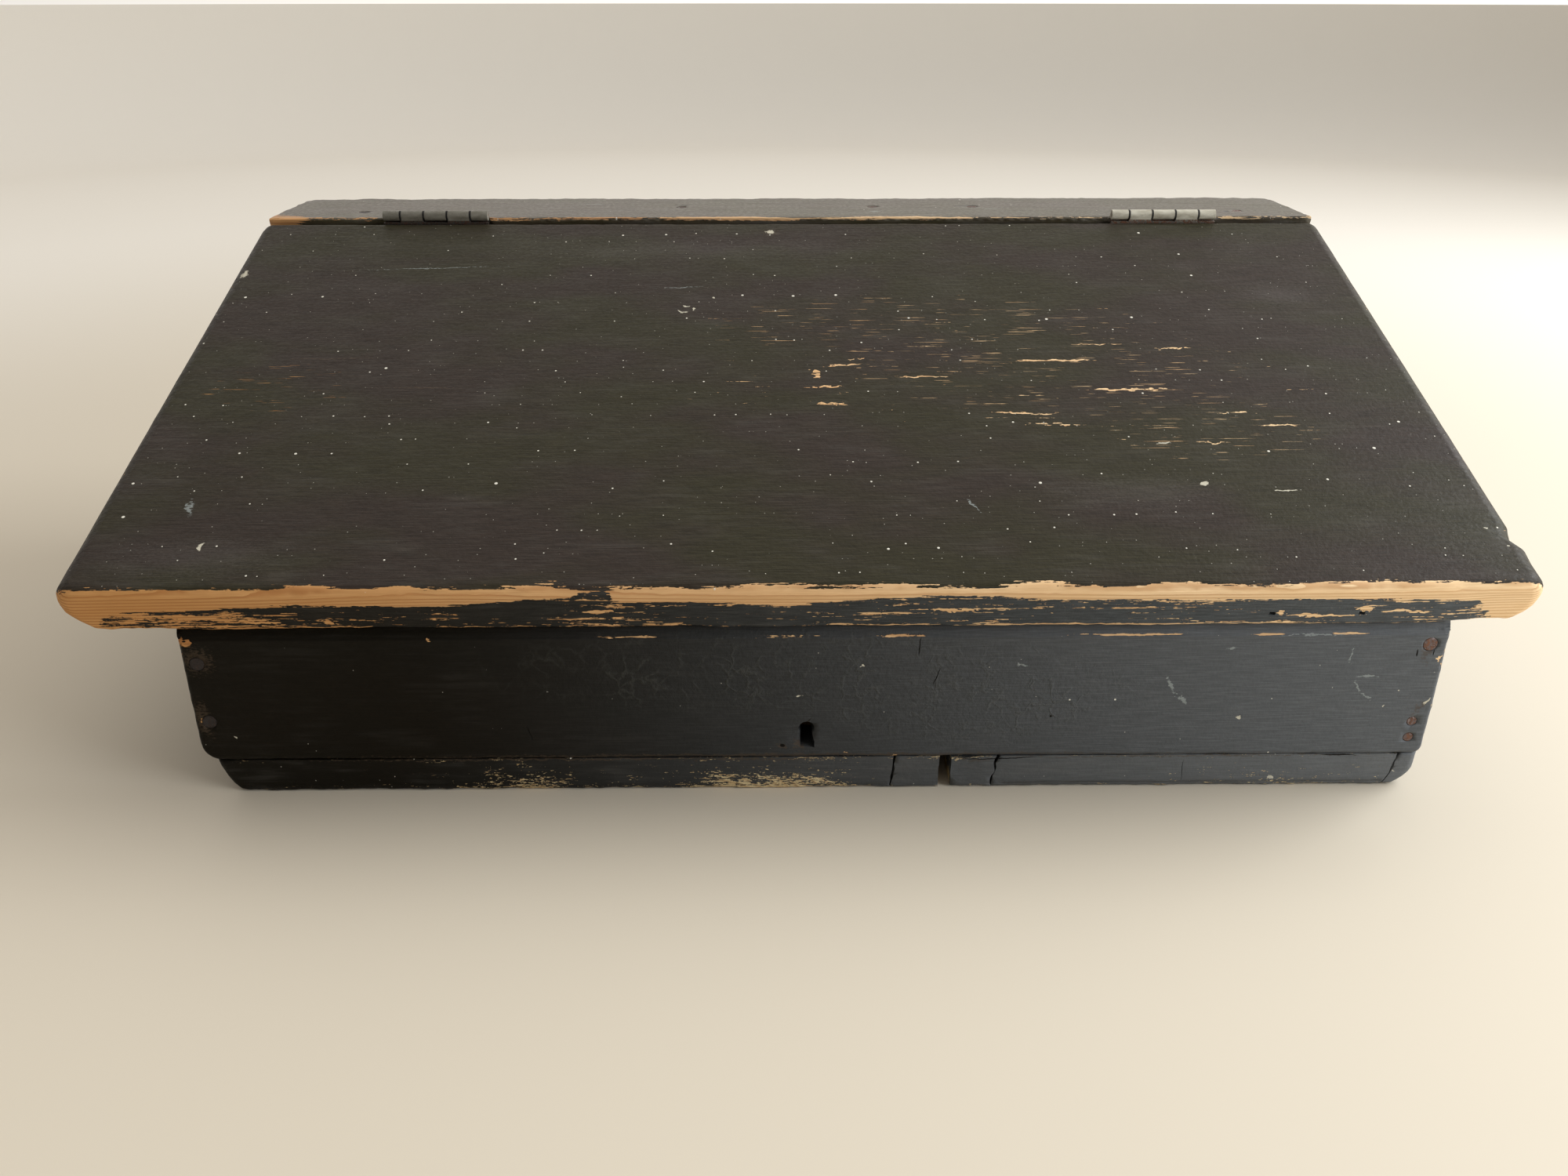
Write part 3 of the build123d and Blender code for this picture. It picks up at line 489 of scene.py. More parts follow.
EXTRA_CUTS = {
    # node: which of the board's directions, and where along it in mm
    "lid_board": (1, (1.0, 2.2, 3.4, 4.8)),
    "front_board": (1, (74.4, 75.0, 75.5, 76.0, 76.5, 77.1, 77.8)),
    "left_base_board": (0, (1.2, 2.4, 4.2)),
    "right_base_board": (0, (1.2, 2.4, 4.2)),
}
ROUNDED = {
    "lid_board": round_lid_ends, "left_base_board": round_base_ends, "right_base_board": round_base_ends,
}
boards = {}
for node, (name, body, slot, steps, bite, coat, inside) in BOARDS.items():
    place = PLACES[node]
    directions = [place.to_3x3().col[k].copy() for k in range(3)]
    board = workpiece(node, name)
    extra_way, extra_cuts = EXTRA_CUTS.get(node, (None, ()))
    for k, (direction, step) in enumerate(zip(directions, steps)):
        start = place.translation.dot(direction)
        extra = [start + gap * MM for gap in extra_cuts] if k == extra_way else ()
        saw(board, direction, step * MM, extra)
    note(board, "coat", coat, place)
    note(board, "inside", inside, place)
    if node in ROUNDED:
        reshape(board, place, ROUNDED[node])
    rub(board, directions, bite * MM)
    if coat is base_coat:
        reshape(board, place, stand_flat)
    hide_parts(node)
    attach(board, body)
    boards[node] = board
    print(name, "faces", len(board.data.polygons), "on", body)

# %% [markdown]
# ## Dents, chips and wandering splits
#
# A few damages are large enough to change the outline. They are made as a sculptor would, by
# picking some vertices and moving them with a soft fall-off: the lid's lower corner at the right is
# worn upwards, its edge has a notch and a dent, and the base has lost its lip beside the gap. The
# keyhole has been worn by the key and is no longer neat. The splits in the base run dead straight
# in the model, so the wood beside them is shaken sideways by a cloudy texture.

# %% Damages to the outline
def push(node, low, high, move, radius):
    """Moves what lies in a box on a board, in the board's own directions, with a soft fall-off."""
    board, place = boards[node], PLACES[node]
    to_board = place.inverted()
    only(board)
    bpy.ops.object.mode_set(mode="EDIT")
    bpy.ops.mesh.select_mode(type="VERT")
    bpy.ops.mesh.select_all(action="DESELECT")
    bpy.ops.object.mode_set(mode="OBJECT")
    count = 0
    for vertex in board.data.vertices:
        at = to_board @ vertex.co / MM
        vertex.select = all(start <= value <= end for start, value, end in zip(low, at, high))
        count += vertex.select
    bpy.ops.object.mode_set(mode="EDIT")
    bpy.ops.transform.translate(
        value=place.to_3x3() @ Vector(move) * MM, use_proportional_edit=True,
        proportional_edit_falloff="SMOOTH", proportional_size=radius * MM,
    )
    bpy.ops.object.mode_set(mode="OBJECT")
    print(node, "moved", count, "vertices by", move)


DAMAGES = (
    # board, box that is moved, move, radius of the fall-off, all in mm
    ("lid_board", (288, -9, -30), (310, 9, -18), (-0.5, 0.8, 1.8), 30),
    ("lid_board", (294, 30, -6), (310, 36, 2), (-2.2, 0, -0.8), 5),
    ("lid_board", (294, 20, -4), (310, 25, 2), (0.9, 0, 0), 6),
    ("lid_board", (-197, -2, -19), (-193, 1, -16), (0, 0.9, 0), 4),
    ("right_base_board", (-1, -69, -1.5), (2.5, -60, 1), (1.2, 0, -1.8), 14),
    ("front_board", (-3, 23, -2), (0, 29, 1), (-0.6, -0.3, -1.6), 4),
    ("front_board", (2, 21, -4), (5.5, 26, 1), (0.9, -0.6, 0), 3),
    ("front_board", (-2, 36, -4), (1, 40, 1), (0.5, -0.8, 0), 3),
)
for damage in DAMAGES:
    push(*damage)

# %% Splits that wander
SPLITS = {"left_base_board": (39.5,), "right_base_board": (84.0, 260.3)}
SPLIT_REACH = 7 * MM
SPLIT_SHAKE = 2.6 * MM
SHAKE = cloud("split shake", 6 * MM, depth=3, contrast=2.0)
for node, splits in SPLITS.items():
    board = boards[node]
    group = board.vertex_groups.new(name="beside splits")
    for vertex in board.data.vertices:
        gap = min(abs(vertex.co.x - split * MM) for split in splits)
        if gap < SPLIT_REACH:
            group.add([vertex.index], 1 - gap / SPLIT_REACH, "REPLACE")
    displace(board, SHAKE, SPLIT_SHAKE, group=group.name, way="X")
    print(node, "splits shaken")

# %% [markdown]
# ## Building blocks for the materials
#
# Every finish here is made of shader nodes. Small helpers keep that readable: they put a node down
# with its inputs, do sums with numbers and with places, mix colours, and open a node group or a
# material. A node group has named sockets. It is built once and then used like any other node, with
# its own values each time.

# %% Helpers for nodes
def put(tree, kind, inputs=(), **settings):
    """Adds a node; each input is a socket to link or a value to set."""
    made = tree.nodes.new("ShaderNode" + kind)
    for key, value in settings.items():
        setattr(made, key, value)
    for key, value in dict(inputs).items():
        if isinstance(value, bpy.types.NodeSocket):
            tree.links.new(value, made.inputs[key])
        else:
            made.inputs[key].default_value = value
    return made


def sum_of(tree, operation, first, second=0.0):
    """One step of arithmetic with numbers."""
    return put(tree, "Math", {0: first, 1: second}, operation=operation).outputs[0]


def times(tree, first, second):
    return sum_of(tree, "MULTIPLY", first, second)


def plus(tree, first, second):
    return sum_of(tree, "ADD", first, second)


def less(tree, first, second):
    return sum_of(tree, "SUBTRACT", first, second)


def moved(tree, operation, first, second=(0, 0, 0)):
    """One step of arithmetic with places; a length or a product is a number."""
    made = put(tree, "VectorMath", {0: first, 1: second}, operation=operation)
    return made.outputs["Value" if operation in ("LENGTH", "DOT_PRODUCT") else "Vector"]


def noise(tree, vector, scale, detail, roughness=0.5):
    """Cloudy noise, as a node with a grey and a coloured output."""
    inputs = {"Vector": vector, "Scale": scale, "Detail": detail, "Roughness": roughness}
    return put(tree, "TexNoise", inputs).outputs


def grey(tree, level):
    """A grey colour of a level."""
    return put(tree, "CombineColor", {0: level, 1: level, 2: level}).outputs[0]


def from_to(tree, value, low, high, start=0.0, end=1.0):
    """Rises smoothly from start to end while the value goes from low to high."""
    return put(
        tree, "MapRange",
        {"Value": value, "From Min": low, "From Max": high, "To Min": start, "To Max": end},
        interpolation_type="SMOOTHSTEP",
    ).outputs[0]


def mixed(tree, share, first, second, how="MIX"):
    """Mixes two colours."""
    return put(
        tree, "Mix", {0: share, 6: first, 7: second}, data_type="RGBA", blend_type=how,
    ).outputs[2]


def new_group(name, inputs, outputs):
    """Opens a node group with named sockets, and returns it with its two ends."""
    tree = bpy.data.node_groups.new(name, "ShaderNodeTree")
    for label, default in inputs.items():
        parts = len(default) if isinstance(default, tuple) else 1
        kind = {1: "Float", 3: "Vector", 4: "Color"}[parts]
        made = tree.interface.new_socket(label, in_out="INPUT", socket_type="NodeSocket" + kind)
        made.default_value = default
    for label, kind in outputs.items():
        tree.interface.new_socket(label, in_out="OUTPUT", socket_type="NodeSocket" + kind)
    start = tree.nodes.new("NodeGroupInput").outputs
    end = tree.nodes.new("NodeGroupOutput").inputs
    return tree, start, end


def new_material(name):
    """A material with its node tree and its shader."""
    made = bpy.data.materials.new(name)
    made.use_nodes = True
    return made, made.node_tree, made.node_tree.nodes["Principled BSDF"].inputs


def lead(tree, ends, results):
    """Leads results into the named sockets at the end of a group or on a shader."""
    for label, result in results.items():
        tree.links.new(result, ends[label])


# %% [markdown]
# Wood wears along its grain, so most of the patterns here are noise that is drawn out along the
# board. The group divides the place on the board by a length and a width, which stretches the
# noise, and spreads its values over the whole range from 0 to 1.

# %% Streaks along the grain
streaks, start, end = new_group(
    "Streaks", {"Vector": (0, 0, 0), "Length": 0.02, "Width": 0.002}, {"Value": "Float"}
)
stretch = put(streaks, "CombineXYZ", {"X": start["Length"], "Y": start["Width"], "Z": start["Width"]})
drawn = moved(streaks, "DIVIDE", start["Vector"], stretch.outputs[0])
level = noise(streaks, drawn, 1, 2.5, 0.6)["Fac"]
spread = put(streaks, "MapRange", {"Value": level, "From Min": 0.3, "From Max": 0.7})
lead(streaks, end, {"Value": spread.outputs[0]})


def streak(tree, vector, length, width):
    """Places the group of streaks; length and width in millimetres."""
    return put(
        tree, "Group", {"Vector": vector, "Length": length * MM, "Width": width * MM}, node_tree=streaks,
    ).outputs["Value"]


# %% [markdown]
# Bare pine shows its growth rings: pale soft early wood that hardens slowly into a thin dark line.
# A ring is a place at one distance from the heart of the tree. The heart is a line some way off the
# board, so a distance from it, bent a little by noise and cut into even steps, draws straight lines
# on an edge and flame shapes on a face, as a real plank does.

# %% Pine
pine, start, end = new_group(
    "Pine",
    {"Vector": (0, 0, 0), "Heart": (0, 0.05, -0.12), "Ring": 0.0032, "Age": 0.2},
    {"Color": "Color", "Height": "Float"},
)
EARLY_WOOD, LATE_WOOD = (0.70, 0.455, 0.215, 1), (0.40, 0.185, 0.065, 1)
FIBRE_TONE, PATCH_TONE = (0.50, 0.285, 0.115, 1), (0.62, 0.345, 0.13, 1)
AGED_WOOD = (0.21, 0.135, 0.075, 1)
BEND_REACH = (0, 0.013, 0.013)
ACROSS_GRAIN = (0, 1, 1)

where = start["Vector"]
bend = put(pine, "Mapping", {"Vector": where, "Scale": (3.0, 22, 22)}).outputs[0]
centred = moved(pine, "SUBTRACT", noise(pine, bend, 1, 1.5)["Color"], (0.5, 0.5, 0.5))
bent = moved(pine, "ADD", where, moved(pine, "MULTIPLY", centred, BEND_REACH))
away = moved(pine, "SUBTRACT", bent, start["Heart"])
far = moved(pine, "LENGTH", moved(pine, "MULTIPLY", away, ACROSS_GRAIN))
ring = sum_of(pine, "FRACT", sum_of(pine, "DIVIDE", far, start["Ring"]))
late = times(pine, from_to(pine, ring, 0.45, 0.93), from_to(pine, ring, 0.96, 1.0, 1.0, 0.0))
fibre = streak(pine, where, 26, 0.55)
patch = streak(pine, where, 70, 14)
tone = mixed(pine, times(pine, late, 0.75), EARLY_WOOD, LATE_WOOD)
tone = mixed(pine, from_to(pine, fibre, 0.1, 0.95, 0.0, 0.42), tone, FIBRE_TONE)
tone = mixed(pine, from_to(pine, patch, 0.2, 0.9, 0.0, 0.35), tone, PATCH_TONE)
dirt = times(pine, start["Age"], from_to(pine, patch, 0.0, 1.0, 0.65, 1.0))
tone = mixed(pine, dirt, tone, AGED_WOOD)
height = plus(pine, times(pine, late, 0.6), times(pine, fibre, 0.4))
lead(pine, end, {"Color": tone, "Height": height})

# %% [markdown]
# A single scratch or chip needs an exact place. The group measures how deep a point lies inside an
# oval of a given centre, size and turn: 1 in the middle, 0 on the rim, less outside. It works in
# three directions, so a mark on one face of a board doesn't come through on the other. Splashes
# come from a cellular texture, in which every cell holds one drop of its own size, or none.

# %% Marks and splashes
mark, start, end = new_group(
    "Mark", {"Vector": (0, 0, 0), "Centre": (0, 0, 0), "Reach": (1, 1, 1), "Turn": 0.0}, {"Depth": "Float"}
)
turned = put(mark, "CombineXYZ", {"Z": start["Turn"]})
local = put(
    mark, "Mapping",
    {"Vector": start["Vector"], "Location": start["Centre"], "Rotation": turned.outputs[0],
     "Scale": start["Reach"]},
    vector_type="TEXTURE",
)
lead(mark, end, {"Depth": less(mark, 1.0, moved(mark, "LENGTH", local.outputs[0]))})


def marks(tree, vector, spots, deep=4.0):
    """The deepest of many marks; each is its centre, half lengths and turn, in mm and degrees."""
    deepest = -1.0
    for cx, cy, rx, ry, turn in spots:
        inputs = {
            "Vector": vector, "Centre": (cx * MM, cy * MM, 0), "Reach": (rx * MM, ry * MM, deep * MM),
            "Turn": radians(turn),
        }
        made = put(tree, "Group", inputs, node_tree=mark).outputs["Depth"]
        deepest = sum_of(tree, "MAXIMUM", made, deepest)
    return deepest


splashes, start, end = new_group(
    "Splashes", {"Vector": (0, 0, 0), "Spacing": 0.01, "Size": 0.0008, "Share": 0.5}, {"Mask": "Float"}
)
scaled = moved(splashes, "DIVIDE", start["Vector"], start["Spacing"])
cells = put(splashes, "TexVoronoi", {"Vector": scaled, "Scale": 1}, voronoi_dimensions="2D").outputs
chance = put(splashes, "SeparateColor", {0: cells["Color"]}).outputs
away = times(splashes, cells["Distance"], start["Spacing"])
size = times(splashes, start["Size"], from_to(splashes, chance[0], 0, 1, 0.35, 1.0))
rim = {"From Min": times(splashes, size, 0.7), "From Max": size, "To Min": 1.0, "To Max": 0.0}
drop = put(splashes, "MapRange", {"Value": away, **rim}).outputs[0]
there = sum_of(splashes, "LESS_THAN", chance[1], start["Share"])
lead(splashes, end, {"Mask": times(splashes, drop, there)})


def splash(tree, vector, spacing, size, share):
    """Places the group of splashes; spacing and size in millimetres."""
    inputs = {"Vector": vector, "Spacing": spacing * MM, "Size": size * MM, "Share": share}
    return put(tree, "Group", inputs, node_tree=splashes).outputs["Mask"]


# %% [markdown]
# The paint is old, thin and brushed along the boards. Its colour drifts between a brown, a green
# and a purple black, the grain below shows through as fine ripples, and where it is thickest it has
# shrunk into plates with raised rims. The group puts out its colour, roughness and height.

# %% Old paint
old_paint, start, end = new_group(
    "Old paint",
    {"Vector": (0, 0, 0), "Main": (0.03, 0.027, 0.022, 1), "Second": (0.03, 0.024, 0.026, 1),
     "Haze": 0.1, "Ripple": 1.0, "Crackle": 0.0},
    {"Color": "Color", "Roughness": "Float", "Height": "Float"},
)
HAZE_TONE, RIM_TONE = (0.20, 0.19, 0.17, 1), (0.12, 0.122, 0.105, 1)
PLATE_WARP = (0.02, 0.02, 0.02)

tree, where = old_paint, start["Vector"]
broad = streak(tree, where, 150, 60)
ripple = times(tree, streak(tree, where, 13, 0.6), start["Ripple"])
wide_ripple = streak(tree, where, 32, 2.4)
lumps = noise(tree, where, 420, 3, 0.6)["Fac"]
tone = mixed(tree, from_to(tree, broad, 0.25, 0.75), start["Main"], start["Second"])
tone = mixed(tree, 1.0, tone, grey(tree, from_to(tree, ripple, 0.0, 1.0, 0.74, 1.34)), how="MULTIPLY")
hazy = times(tree, streak(tree, where, 34, 16), wide_ripple)
hazy = times(tree, from_to(tree, hazy, 0.15, 0.8), start["Haze"])
tone = mixed(tree, hazy, tone, HAZE_TONE)
warp = noise(tree, where, 60, 3)
bent = moved(tree, "ADD", where, moved(tree, "MULTIPLY", warp["Color"], PLATE_WARP))
plates = put(tree, "TexVoronoi", {"Vector": bent, "Scale": 120}, feature="DISTANCE_TO_EDGE")
rims = from_to(tree, plates.outputs["Distance"], 0.0, 0.12, 1.0, 0.0)
rims = times(tree, rims, times(tree, from_to(tree, warp["Fac"], 0.42, 0.56), start["Crackle"]))
rims = times(tree, rims, from_to(tree, lumps, 0.35, 0.6, 0.3, 1.0))
tone = mixed(tree, times(tree, rims, 0.16), tone, RIM_TONE)
wrinkles = times(tree, lumps, times(tree, start["Crackle"], 2.2))
raised = plus(tree, times(tree, rims, 1.3), wrinkles)
sheen = plus(tree, from_to(tree, wide_ripple, 0, 1, -0.05, 0.06), 0.5)
sheen = plus(tree, sheen, from_to(tree, lumps, 0.3, 0.7, -0.06, 0.08))
height = plus(tree, times(tree, ripple, 0.28), times(tree, wide_ripple, 0.25))
height = plus(tree, height, from_to(tree, lumps, 0.3, 0.7, 0, 0.5))
lead(tree, end, {"Color": tone, "Roughness": sheen, "Height": plus(tree, height, raised)})

# %% [markdown]
# Paint and wood meet in one group. The number `coat` is compared with a streaky pattern: where the
# pattern is stronger, the paint has gone. Just beside such a place the paint is thin, and the brown
# of the wood comes through. The height drops by the thickness of the paint, so that every flake
# has an edge that catches the light.

# %% Paint over wood
over_wood, start, end = new_group(
    "Paint over wood",
    {"Coat": 1.0, "Pattern": 0.5, "Paint": (0, 0, 0, 1), "Paint Roughness": 0.5, "Paint Height": 0.5,
     "Wood": (0.5, 0.3, 0.1, 1), "Wood Height": 0.5},
    {"Color": "Color", "Roughness": "Float", "Height": "Float"},
)
THIN_PAINT = (0.085, 0.058, 0.036, 1)
WOOD_ROUGHNESS = 0.62
PAINT_THICKNESS = 0.9

tree = over_wood
lack = less(tree, start["Pattern"], start["Coat"])
bare = from_to(tree, lack, -0.012, 0.022)
thin = from_to(tree, lack, -0.07, 0.0, 0.0, 0.35)
tone = mixed(tree, bare, mixed(tree, thin, start["Paint"], THIN_PAINT), start["Wood"])
rough = put(tree, "Mix", {0: bare, 2: start["Paint Roughness"], 3: WOOD_ROUGHNESS}).outputs[0]
low = times(tree, start["Wood Height"], 0.5)
high = plus(tree, start["Paint Height"], PAINT_THICKNESS)
height = put(tree, "Mix", {0: bare, 2: high, 3: low}).outputs[0]
lead(tree, end, {"Color": tone, "Roughness": rough, "Height": height})
print("node groups", len(bpy.data.node_groups))

# %% [markdown]
# ## Painted boards
#
# One function makes the material of a board from these blocks. It turns the object's coordinates
# into the board's own with a Mapping node, builds wood, paint and the streaky pattern, takes the
# marks off the coat, and adds splashes. Each board then has its own heart of the tree, colours and
# marks.

# %% The material of a board
LONG_GRAIN = (
    # the streaky pattern's layers: length, width, share
    (300, 1.6, 0.2), (45, 3.0, 0.25), (12, 1.0, 0.28), (3.5, 0.6, 0.17), (1.8, 1.4, 0.1),
)
END_GRAIN = ((14, 3.0, 0.3), (4.5, 0.8, 0.35), (1.4, 0.5, 0.35))


def shaken(tree, vector, along, across):
    """Shakes a place by a cloudy pattern, by some mm along and across, so that marks are ragged."""
    cloudy = noise(tree, vector, 260, 2)["Color"]
    most = Vector((along, across, 0)) * MM
    shift = put(tree, "VectorMath", {0: cloudy, 1: most, 2: most / -2}, operation="MULTIPLY_ADD")
    return moved(tree, "ADD", vector, shift.outputs[0])


TINTS = {
    # kind of mark: colour, strength, softness of its rim, raggedness, depth of the cut
    "hazy": ((0.30, 0.275, 0.265), 0.06, 0.9, 0.8, 0.0),
    "brown": ((0.075, 0.052, 0.034), 0.5, 0.6, 0.9, 0.0),
    "smeared": ((0.30, 0.33, 0.32), 0.6, 0.4, 0.9, 0.0),
    "pale": ((0.62, 0.58, 0.46), 0.8, 0.25, 0.6, 0.0),
    # near black laid into cracks, nail holes and dents, with a lower bump: painted shade in these recesses
    "recess_shade": ((0.005, 0.004, 0.003), 1.0, 0.4, 0.0, 3.0),
}


def tinted(tree, vector, mark_sets, colour, height):
    """Lays marks of several kinds over a surface."""
    ragged_place = shaken(tree, vector, 7, 3)
    true_place = shaken(tree, vector, 1.2, 1.2)
    for kind, spots in mark_sets.items():
        shade, strength, softness, ragged, cut = TINTS[kind]
        depth = marks(tree, ragged_place if ragged else true_place, spots)
        if ragged:
            grit = less(tree, streak(tree, vector, 1.5, 0.9), 0.7)
            depth = plus(tree, depth, times(tree, grit, ragged))
        share = from_to(tree, depth, 0.0, softness, 0.0, strength)
        colour = mixed(tree, share, colour, (*shade, 1))
        if cut:
            height = less(tree, height, times(tree, share, cut))
    return colour, height


SPLASH_TONE = (0.70, 0.67, 0.58, 1)


def splashed(tree, face, share, colour, height):
    """Adds drops and specks, which end where the painted face turns down at the board's edges."""
    behind = sum_of(tree, "ABSOLUTE", put(tree, "SeparateXYZ", {0: face}).outputs["Z"])
    outside = from_to(tree, behind, 0.8 * MM, 1.8 * MM, 1.0, 0.0)
    drops = times(tree, splash(tree, face, 22, 0.85, 0.14 * share), outside)
    spots = splash(tree, face, 9, 0.5, 0.13 * share)
    specks = times(tree, splash(tree, face, 3.6, 0.26, 0.09 * share), 0.55)
    small = times(tree, sum_of(tree, "MAXIMUM", spots, specks), outside)
    colour = mixed(tree, sum_of(tree, "MAXIMUM", drops, small), colour, SPLASH_TONE)
    return colour, plus(tree, height, times(tree, drops, 0.5))


def light_along_desk(tree, rightward, left, right, shaded_left, lit_right):
    """A colour that changes along the desk, between two places in mm: painted window light, dim at the left and
    bright at the right.
    """
    across = from_to(tree, rightward, left * MM, right * MM)
    return mixed(tree, across, (*shaded_left, 1), (*lit_right, 1))


# %% A painted board
# the stretches along the desk over which painted window light makes the wood and the paint of the edge paler, in
# mm
WOOD_LIGHT_SPAN, EDGE_LIGHT_SPAN = (-300, 270), (-200, 270)
PAINT_RELIEF = 0.16 * MM


def painted_board(
    node, main, second, heart, ring=3.2, grain=LONG_GRAIN, wood_light=None, ripple=1.0, haze=0.1,
    crackle=(), worn=(), dashes=(), marked=None, end_grain=False, edge_worn=(), edge_marked=None,
    edge_paint_light=None, light_fade=None, specular=0.5, splash_share=0.3,
):
    """The material of one board; what isn't given stays at the values of a plain board."""
    made, tree, shader = new_material(node.replace("_", " ") + " paint")
    place = PLACES[node]
    here = put(
        tree, "Mapping",
        {"Vector": put(tree, "TexCoord").outputs["Object"], "Location": place.translation,
         "Rotation": place.to_euler()},
        vector_type="TEXTURE",
    ).outputs[0]
    ways = put(tree, "SeparateXYZ", {0: here}).outputs
    # the front edge of a board is seen as a face of its own: along it, up it, in from it
    if end_grain:
        on_edge = {"X": times(tree, ways["Y"], -1.0), "Y": ways["Z"], "Z": ways["X"]}
    else:
        on_edge = {"X": ways["X"], "Y": ways["Z"], "Z": ways["Y"]}
    edge = put(tree, "CombineXYZ", on_edge).outputs[0]
    face = edge if end_grain else here
    rightward = on_edge["X"]
    coat = put(tree, "Attribute", attribute_name="coat").outputs["Fac"]
    inside = put(tree, "Attribute", attribute_name="inside").outputs["Fac"]
    age = put(tree, "MapRange", {"Value": inside, "To Min": 0.12, "To Max": 0.62}).outputs[0]
    wood = put(
        tree, "Group", {"Vector": here, "Heart": Vector(heart) * MM, "Ring": ring * MM, "Age": age},
        node_tree=pine,
    )
    wood_colour = wood.outputs["Color"]
    # painted window light: the bare wood is darker and warmer at the left, brighter and cooler at the right
    if wood_light:
        shift = light_along_desk(tree, rightward, *WOOD_LIGHT_SPAN, *wood_light)
        wood_colour = mixed(tree, 1.0, wood_colour, shift, how="MULTIPLY")
    pattern = 0.0
    for length, width, share in grain:
        pattern = plus(tree, times(tree, streak(tree, face, length, width), share), pattern)
    pattern = put(tree, "MapRange", {"Value": pattern, "From Min": 0.22, "From Max": 0.78}).outputs[0]
    for vector, spots in ((here, worn), (edge, edge_worn)):
        if spots:
            lost = marks(tree, shaken(tree, vector, 14, 4.5), spots)
            coat = less(tree, coat, from_to(tree, lost, -0.1, 0.6, 0.0, 0.62))
    if dashes:
        region = from_to(tree, marks(tree, here, dashes), 0.0, 0.8)
        fine = from_to(tree, streak(tree, here, 26, 0.6), 0.86, 0.96, 0.0, 1.6)
        coat = less(tree, coat, times(tree, region, fine))
    cracked = from_to(tree, marks(tree, here, crackle, deep=9), 0.0, 0.6) if crackle else 0.0
    main, second = (*main, 1), (*second, 1)
    # painted window light: the paint grows paler and greyer towards the end of the board where the window's light
    # falls
    if light_fade:
        low, high, lit_colour = light_fade
        light_share = from_to(tree, rightward, low * MM, high * MM)
        main, second = mixed(tree, light_share, main, (*lit_colour, 1)), mixed(tree, light_share, second, (*lit_colour, 1))
    # painted light: the paint on the lid's front edge goes from black in shade at the left to blue-grey in the
    # window's light at the right
    if edge_paint_light:
        tone = light_along_desk(tree, rightward, *EDGE_LIGHT_SPAN, *edge_paint_light)
        at_edge = from_to(tree, ways["Y"], 2.5 * MM, 0.4 * MM)
        main, second = mixed(tree, at_edge, main, tone), mixed(tree, at_edge, second, tone)
    paint = put(
        tree, "Group",
        {"Vector": face, "Main": main, "Second": second, "Haze": haze, "Ripple": ripple,
         "Crackle": cracked},
        node_tree=old_paint,
    )
    surface = put(
        tree, "Group",
        {"Coat": coat, "Pattern": pattern, "Paint": paint.outputs["Color"],
         "Paint Roughness": paint.outputs["Roughness"], "Paint Height": paint.outputs["Height"],
         "Wood": wood_colour, "Wood Height": wood.outputs["Height"]},
        node_tree=over_wood,
    )
    colour, height = surface.outputs["Color"], surface.outputs["Height"]
    for vector, mark_sets in ((here, marked), (edge, edge_marked)):
        if mark_sets:
            colour, height = tinted(tree, vector, mark_sets, colour, height)
    colour, height = splashed(tree, face, splash_share, colour, height)
    relief = put(tree, "Bump", {"Height": height, "Distance": PAINT_RELIEF}).outputs[0]
    lead(tree, shader, {
        "Base Color": colour, "Roughness": surface.outputs["Roughness"], "Normal": relief,
    })
    shader["Specular IOR Level"].default_value = specular
    return made


# %% [markdown]
# The marks below were measured on the photograph: the long bare streaks where something was
# dragged across the lid, the worn spot in its middle, chips, smears and scratches.

# %% Marks on the lid
# every mark: centre along and across the board, half length, half width, turn
LID_WORN = (
    (127, 161.5, 27, 1.3, 0), (31, 163.4, 7, 0.8, 2), (161, 136.8, 30, 1.2, 0), (242, 136.3, 9, 0.8, 0),
    (108, 118, 25, 1.0, -2), (120, 109.5, 19, 0.9, -1), (9.5, 151, 2.6, 5.5, 12), (15.7, 140, 9, 0.9, 0),
    (15, 126, 12, 0.8, 0), (22, 158, 12, 0.7, 8), (60, 148, 22, 0.8, 0), (205, 118, 15, 0.7, 0),
    (225, 108, 14, 0.7, 0), (190, 172, 14, 0.8, 3), (150, 176, 16, 0.7, 0), (190, 95, 14, 0.6, 0),
)
LID_DASHES = ((130, 150, 130, 50, 0), (60, 195, 150, 40, 0), (190, 105, 80, 34, 0), (-250, 140, 50, 30, 0))
LID_MARKED = {
    "hazy": ((256, 222, 34, 20, 0), (-250, 20, 60, 20, 0), (150, 60, 60, 18, 0), (-60, 270, 160, 18, 0)),
    "brown": ((-12, 290, 6, 5, 0), (-230, 165, 30, 0.8, 1), (-180, 140, 24, 0.7, 0)),
    "smeared": (
        (-196, 251.5, 44, 0.35, 2.5), (74, 52, 0.7, 6, 32), (-262, 52, 2, 6, 10), (-60, 231, 14, 0.4, 4),
    ),
    "pale": (
        (-12.5, 290.5, 3.4, 2.8, 20), (-296, 245.6, 2.2, 4.5, 0), (-41.9, 220.6, 1.3, 1.1, 0),
        (166, 95, 4.4, 0.8, 5), (178, 66, 2.4, 1.3, 30), (212, 61, 6, 0.5, 2), (-250, 27, 1.6, 2.4, 10),
        (290, 36, 1.3, 0.6, 0), (294, 24, 1.0, 0.5, 0), (-59.5, 207, 0.9, 2.2, 20),
        (-56.5, 212.5, 2.4, 0.8, 8), (-53, 209.5, 0.8, 1.8, -20), (-57.5, 206.5, 1.8, 0.7, 0),
    ),
}
